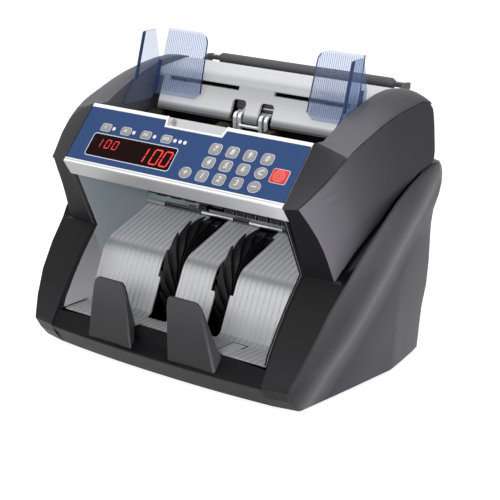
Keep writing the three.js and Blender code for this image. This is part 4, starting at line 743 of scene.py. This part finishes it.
# hopper hooks: pairs of curved chrome fingers that turn down over the feed roller, on a tie rod
hooks = {
    "centres": (-16.1, -11.2, 11.4, 17.2), "width": 3.3, "thick": 2.2, "centre": (108.7, 194), "radius": 5.5,
    "sweep": 90, "steps": 16, "root": 113.4, "foot": 185,
    "tieEnds": (-9.8, 10), "tie": (102.6, 188.7), "tieRadius": 1.5,
    "pinEnds": (8.3, 21.6), "pin": (112.4, 203.9), "pinRadius": 0.6,
    "wire": ((-15, 112.2, 198.5), (-13.9, 113, 206.2)), "wireLean": 0.8,
    "rootPlate": ((-20, 113.2, 196.6), (20, 115, 199.6)),
}
y, z = hooks["centre"]
bm = bmesh.new()
for x in hooks["centres"]:
    sides = [x - hooks["width"] / 2, x + hooks["width"] / 2]
    root = [bm.verts.new((side, hooks["root"], z + hooks["radius"])) for side in sides]
    top = [bm.verts.new((side, y, z + hooks["radius"])) for side in sides]
    bm.faces.new((root[0], root[1], top[1], top[0]))
    made = bmesh.ops.spin(bm, geom=[bm.edges.get(top)] + top, cent=(0, y, z), axis=acrossX,
                          angle=math.radians(hooks["sweep"]), steps=hooks["steps"], use_duplicate=False)
    last = [e for e in made["geom_last"] if isinstance(e, bmesh.types.BMEdge)]
    for v in bmesh.ops.extrude_edge_only(bm, edges=last)["geom"]:
        if isinstance(v, bmesh.types.BMVert):
            v.co.z = hooks["foot"]
bmesh.ops.remove_doubles(bm, verts=bm.verts, dist=1e-4)
bmesh.ops.recalc_face_normals(bm, faces=bm.faces)
bmesh.ops.solidify(bm, geom=bm.faces[:], thickness=hooks["thick"])
bar(bm, hooks["tieRadius"], *hooks["tieEnds"], *hooks["tie"], 24)
bar(bm, hooks["pinRadius"], *hooks["pinEnds"], *hooks["pin"], 12)
for v in slab(bm, *hooks["wire"]):
    v.co.x += (v.co.z - hooks["wire"][0][2]) * hooks["wireLean"]
slab(bm, *hooks["rootPlate"])
bmesh.ops.recalc_face_normals(bm, faces=bm.faces)
fingers = finishPiece("hopper_hooks", bm, "hook", "housing", 40, 0.35, 3)
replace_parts(fingers, "hopper_fingers")

# the feed roller keeps its turned shape, with grooves in its tyres where the fingers dip in
roller = {"y": 101, "z": 176.4, "grooves": ((-21, -8.4), (8.4, 21)), "floor": 7.4, "wall": 0.1}
bm = bmesh.new()
bm.from_mesh(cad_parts["feed_roller"].data)
bm.transform(fromRow)
bmesh.ops.remove_doubles(bm, verts=bm.verts, dist=2e-3)
for x0, x1 in roller["grooves"]:
    for x in (x0, x0 + roller["wall"], x1 - roller["wall"], x1):
        bmesh.ops.bisect_plane(bm, geom=bm.verts[:] + bm.edges[:] + bm.faces[:], plane_co=(x, 0, 0),
                               plane_no=acrossX)
half = roller["wall"] / 2
for v in bm.verts:
    away = Vector((0, v.co.y - roller["y"], v.co.z - roller["z"]))
    if away.length > roller["floor"] and any(x0 + half < v.co.x < x1 - half for x0, x1 in roller["grooves"]):
        v.co -= away * (1 - roller["floor"] / away.length)
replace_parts(finishPiece("feed_roller_tyres", bm, "roller", "feed", 40), "feed_roller")

# thin inner sheets that close the views through the casing; the black ones are painted shade standing in for
# the dark inside
innerSheets = {
    "inner_wall": ("facet", (-111, 139, 150), (111, 140.2, 215)),  # behind the feed roller
    "vent_baffle": ("facet", (-111, 171, 84), (0, 172.2, 144)),  # inside the rear vents
    "base_lining": ("facet", (-108, 45, 5.05), (108, 150, 5.35)),  # over the base's vents
    "window_backing": ("handle", (-24, 116.5, 199.6), (24, 118, 210)),  # behind the hopper's windows
}
for name, (finish, low, high) in innerSheets.items():
    slabPiece(name, finish, [(low, high)])
print("hooks made")


# keys: caps on the panel, each with a film collar and a printed outline around it
keySize = {
    "width": 10.6, "height": 8.8, "corner": 2.5, "foot": -6.4, "proud": 1.1, "edge": 0.5, "roundExtra": 0.2,
    "gap": 0.1, "line": 0.6, "lineThick": 0.06, "collar": 1.3, "collarThick": 0.05, "print": 0.06,
}
keyShape = {"key_restart": (15.2, 11.6, 1.5)}  # width, height and corner where they differ
for i in range(1, 5):
    keyShape["key_function_%d" % i] = (9.9, 6.2, 1.7)


def keyCentre(node):
    low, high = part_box(node)
    return fromPanel @ ((Vector(low) + Vector(high)) / 2)


def keyFace(bm, node, grow):
    if node in panel["round"]:
        extra = keySize["roundExtra"] + 2 * grow
        return roundPlate(bm, keySize["width"] + extra, keySize["height"] + extra)
    width, height, corner = keyShape.get(node, (keySize["width"], keySize["height"], keySize["corner"]))
    return roundedPlate(bm, width + 2 * grow, height + 2 * grow, corner + grow)


def keyFigure(text, name, centre, body):
    # a printed figure, flat on its key and leaning a little
    curve = bpy.data.curves.new(name, "FONT")
    curve.body = text
    curve.size = panel["figure"] * 1.4  # a figure is about 0.7 of the type size
    curve.align_x = "CENTER"
    curve.align_y = "CENTER"
    curve.shear = 0.25
    curve.offset = 0.12
    curve.resolution_u = 3
    holder = bpy.data.objects.new(name + "Curve", curve)
    bpy.context.collection.objects.link(holder)
    bpy.context.view_layer.update()
    bm = bmesh.new()
    bm.from_mesh(bpy.data.meshes.new_from_object(holder))
    bpy.data.objects.remove(holder)
    lifted(bm, bm.faces[:], keySize["print"])
    bm.transform(Matrix.Translation((centre.x, centre.y, keySize["proud"])))
    finishPiece(name, bm, "print", body, place=toPanel)


def addRing(target, face, bm, width, height, centre, lift):
    # a flat ring of the given width inside a face's edge, gathered into one mesh
    bmesh.ops.inset_individual(bm, faces=[face], thickness=width, use_even_offset=True)
    bmesh.ops.delete(bm, geom=[face], context="FACES")
    lifted(bm, bm.faces[:], height)
    bm.transform(Matrix.Translation((centre.x, centre.y, lift)))
    holder = bpy.data.meshes.new("ring")
    bm.to_mesh(holder)
    bm.free()
    target.from_mesh(holder)
    bpy.data.meshes.remove(holder)


outlines, collars = bmesh.new(), bmesh.new()
for node in [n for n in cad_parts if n.startswith("key_")]:
    body = "button_" + node[4:]
    centre = keyCentre(node)
    bm = bmesh.new()
    top = lifted(bm, [keyFace(bm, node, 0)], keySize["proud"] - keySize["foot"])
    rim = unique(e for f in top for e in f.edges)
    bmesh.ops.bevel(bm, geom=rim, offset=keySize["edge"], offset_type="OFFSET", affect="EDGES", segments=3,
                    profile=0.5, material=-1)
    bm.transform(Matrix.Translation((centre.x, centre.y, keySize["foot"])))
    finish = "redKey" if node == "key_restart" else "key"
    cap = finishPiece(node + "_cap", bm, finish, body, 40, place=toPanel)
    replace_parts(cap, node)
    bm = bmesh.new()
    face = keyFace(bm, node, keySize["collar"])
    addRing(collars, face, bm, keySize["collar"] - keySize["gap"], keySize["collarThick"], centre,
            panel["film"])
    bm = bmesh.new()
    face = keyFace(bm, node, keySize["gap"] + keySize["line"])
    addRing(outlines, face, bm, keySize["line"], keySize["lineThick"], centre,
            panel["film"] + keySize["collarThick"])
    if node in panel["labels"]:
        keyFigure(panel["labels"][node], node + "_figure", centre, body)
window = panel["display"]
bm = bmesh.new()
face = roundedPlate(bm, window["width"], window["height"], window["corner"])
addRing(outlines, face, bm, window["line"], keySize["lineThick"],
        Vector((window["across"], -window["down"], 0)), panel["film"])
finishPiece("key_collars", collars, "film", "housing", place=toPanel)
finishPiece("panel_outlines", outlines, "outline", "housing", place=toPanel)

# a thin grey groove parts the white band under the film, and a small mark stands in the notch
slabPiece("band_groove", "silver", [panel["groove"]], place=toPanel)
bm = bmesh.new()
for across, up in panel["mark"]:
    bm.verts.new((across, up, panel["markLift"]))
bm.faces.new(bm.verts[:])
lifted(bm, bm.faces[:], panel["markThick"])
finishPiece("notch_mark", bm, "key", "housing", place=toPanel)

# plain marks: bars on the function keys, a line on the batch key, rings on the start key
marks = {"bar": (0.7, 2.6), "barPitch": 1.7, "line": (5.2, 0.8),
         "rings": (1.6, 2.9, 4.2, 5.3), "ringWidth": 0.3, "ringThick": 0.05}


def markBar(bm, x, y, size):
    low = (x - size[0] / 2, y - size[1] / 2, keySize["proud"])
    slab(bm, low, (x + size[0] / 2, y + size[1] / 2, keySize["proud"] + keySize["print"]))


for i in range(1, 5):
    centre = keyCentre("key_function_%d" % i)
    bm = bmesh.new()
    for k in range(i):
        markBar(bm, centre.x + (k - (i - 1) / 2) * marks["barPitch"], centre.y, marks["bar"])
    finishPiece("function_mark_%d" % i, bm, "print", "button_function_%d" % i, place=toPanel)
centre = keyCentre("key_batch")
bm = bmesh.new()
markBar(bm, centre.x, centre.y, marks["line"])
finishPiece("batch_mark", bm, "print", "button_batch", place=toPanel)
centre = keyCentre("key_restart")
bm = bmesh.new()
for radius in marks["rings"]:
    made = bmesh.ops.create_circle(bm, cap_ends=False, segments=40, radius=radius)
    edges = unique(e for v in made["verts"] for e in v.link_edges)
    grown = bmesh.ops.extrude_edge_only(bm, edges=edges)["geom"]
    shrink = 1 - marks["ringWidth"] / radius
    bmesh.ops.scale(bm, vec=(shrink, shrink, 1),
                    verts=[v for v in grown if isinstance(v, bmesh.types.BMVert)])
bmesh.ops.recalc_face_normals(bm, faces=bm.faces)
lifted(bm, bm.faces[:], marks["ringThick"])
bm.transform(Matrix.Translation((centre.x, centre.y, keySize["proud"])))
finishPiece("start_rings", bm, "redPrint", "button_restart", place=toPanel)

# indicator lamps: low domes on the film
for i, across in enumerate(panel["lamps"]):
    bm = bmesh.new()
    bmesh.ops.create_uvsphere(bm, u_segments=20, v_segments=10, radius=panel["lampRadius"])
    bmesh.ops.bisect_plane(bm, geom=bm.verts[:] + bm.edges[:] + bm.faces[:], plane_co=(0, 0, 0),
                           plane_no=(0, 0, -1), clear_outer=True)
    bmesh.ops.scale(bm, vec=(1, 1, panel["lampFlat"]), verts=bm.verts)
    bm.transform(Matrix.Translation((across, -panel["lampDown"], panel["lampLift"])))
    finishPiece("panel_lamp_%d" % (i + 1), bm, "print", "housing", place=toPanel)

# light figures behind the display window, each of pointed bars; a one stands further left
figures = {
    "text": "100", "lean": 0.12, "thick": 0.05, "lift": 0.12, "bars": {"1": "bc", "0": "abcdef"},
    "sizes": {
        "large": {"height": 13.6, "width": 7.6, "bar": 1.3, "pitch": 11.2, "first": -35, "down": 38.4,
                  "oneShift": 3.6},
        "small": {"height": 7.6, "width": 4.6, "bar": 0.75, "pitch": 8.4, "first": -87.4, "down": 35.5,
                  "oneShift": 1.44},
    },
}


def lightBar(bm, x, y, length, thick, upright):
    # one light bar with pointed ends, sheared with the figure
    half = length / 2 - thick * 0.6
    outline = [(-half, -thick / 2), (-half - thick / 2, 0), (-half, thick / 2), (half, thick / 2),
               (half + thick / 2, 0), (half, -thick / 2)]
    verts = []
    for a, b in outline:
        px, py = (x + b, y + a) if upright else (x + a, y + b)
        verts.append(bm.verts.new((px + figures["lean"] * py, py, 0)))
    bm.faces.new(verts)


def lightFigure(figure, name, across, shape):
    w, h, quarter = shape["width"], shape["height"], shape["height"] / 4
    spots = {"a": (0, h / 2, w, False), "d": (0, -h / 2, w, False),
             "b": (w / 2, quarter, h / 2, True), "c": (w / 2, -quarter, h / 2, True),
             "e": (-w / 2, -quarter, h / 2, True), "f": (-w / 2, quarter, h / 2, True)}
    bm = bmesh.new()
    for key in figures["bars"][figure]:
        x, y, length, upright = spots[key]
        lightBar(bm, x, y, length, shape["bar"], upright)
    lifted(bm, bm.faces[:], figures["thick"])
    bm.transform(Matrix.Translation((across, -shape["down"], figures["lift"])))
    finishPiece(name, bm, "glow", "housing", place=toPanel)


for i, figure in enumerate(figures["text"]):
    for size, shape in figures["sizes"].items():
        across = shape["first"] + i * shape["pitch"] - (shape["oneShift"] if figure == "1" else 0)
        lightFigure(figure, "display_%s_%d" % (size, i), across, shape)
print("panel finished")


# camera, floor and light
camera = {"at": (0.82636, -1.001545, 0.49487), "yaw": 38.778, "pitch": 17.48, "lens": 115.1, "sensor": 36}
view = bpy.data.objects.new("camera", bpy.data.cameras.new("camera"))
bpy.context.collection.objects.link(view)
view.location = camera["at"]
view.rotation_euler = (math.radians(90 - camera["pitch"]), 0, math.radians(camera["yaw"]))
view.data.lens = camera["lens"]
view.data.sensor_width = camera["sensor"]
bpy.context.scene.camera = view

studio = {
    "floorSize": 12, "floorHex": "#c8c8c8", "floorLift": 0.76, "white": (1, 1, 1, 1),
    "skyTint": (0.95, 0.97, 1, 1), "skyStrength": 0.35,
    "softboxes": {
        "overhead": {"at": (0.0, 0.05, 1.5), "aim": (0, 0, 0.1), "size": (1.5, 1.1), "watts": 11},
        "key": {"at": (-0.6, -1.3, 1.1), "aim": (0, 0, 0.12), "size": (0.9, 0.9), "watts": 3},
        "front": {"at": (0.5, -1.5, 0.62), "aim": (0, 0, 0.09), "size": (1.1, 0.45), "watts": 16},
        "side": {"at": (1.8, 0.05, 0.45), "aim": (0, 0, 0.12), "size": (0.8, 1.1), "watts": 14},
    },
}


def isShown(tree):
    # 1 for what the camera sees straight, in gloss or through glass, and 0 for the light on the object
    rays = addNode(tree, "ShaderNodeLightPath").outputs
    shown = addNode(tree, "ShaderNodeMath", {0: rays["Is Camera Ray"], 1: rays["Is Glossy Ray"]},
                    operation="MAXIMUM")
    return addNode(tree, "ShaderNodeMath", {0: shown, 1: rays["Is Transmission Ray"]}, operation="MAXIMUM")


bm = bmesh.new()
bmesh.ops.create_grid(bm, x_segments=1, y_segments=1, size=studio["floorSize"])
floorMesh = bpy.data.meshes.new("floor")
bm.to_mesh(floorMesh)
bm.free()
floor = bpy.data.objects.new("floor", floorMesh)
bpy.context.collection.objects.link(floor)
paper, tree, shader, place = newMaterial("studioPaper")
setInputs(tree, shader, {
    "Base Color": linearColour(studio["floorHex"]), "Roughness": 0.9, "Emission Color": studio["white"],
    "Emission Strength": addNode(tree, "ShaderNodeMath", {0: isShown(tree), 1: studio["floorLift"]},
                                 operation="MULTIPLY")})
floorMesh.materials.append(paper)

world = bpy.data.worlds.new("studio")
bpy.context.scene.world = world
world.use_nodes = True
worldTree = world.node_tree
worldTree.nodes.clear()
soft = addNode(worldTree, "ShaderNodeBackground", {"Color": studio["skyTint"],
                                                   "Strength": studio["skyStrength"]})
white = addNode(worldTree, "ShaderNodeBackground", {"Color": studio["white"], "Strength": 1.0})
choice = addNode(worldTree, "ShaderNodeMixShader", {0: isShown(worldTree), 1: soft, 2: white})
addNode(worldTree, "ShaderNodeOutputWorld", {"Surface": choice})

for name, box in studio["softboxes"].items():
    lamp = bpy.data.lights.new(name, "AREA")
    lamp.shape = "RECTANGLE"
    lamp.size, lamp.size_y = box["size"]
    lamp.energy = box["watts"]
    holder = bpy.data.objects.new(name, lamp)
    bpy.context.collection.objects.link(holder)
    holder.location = box["at"]
    holder.rotation_euler = (Vector(box["aim"]) - Vector(box["at"])).to_track_quat("-Z", "Y").to_euler()
bpy.context.scene.view_settings.view_transform = "Standard"
print("stage set")
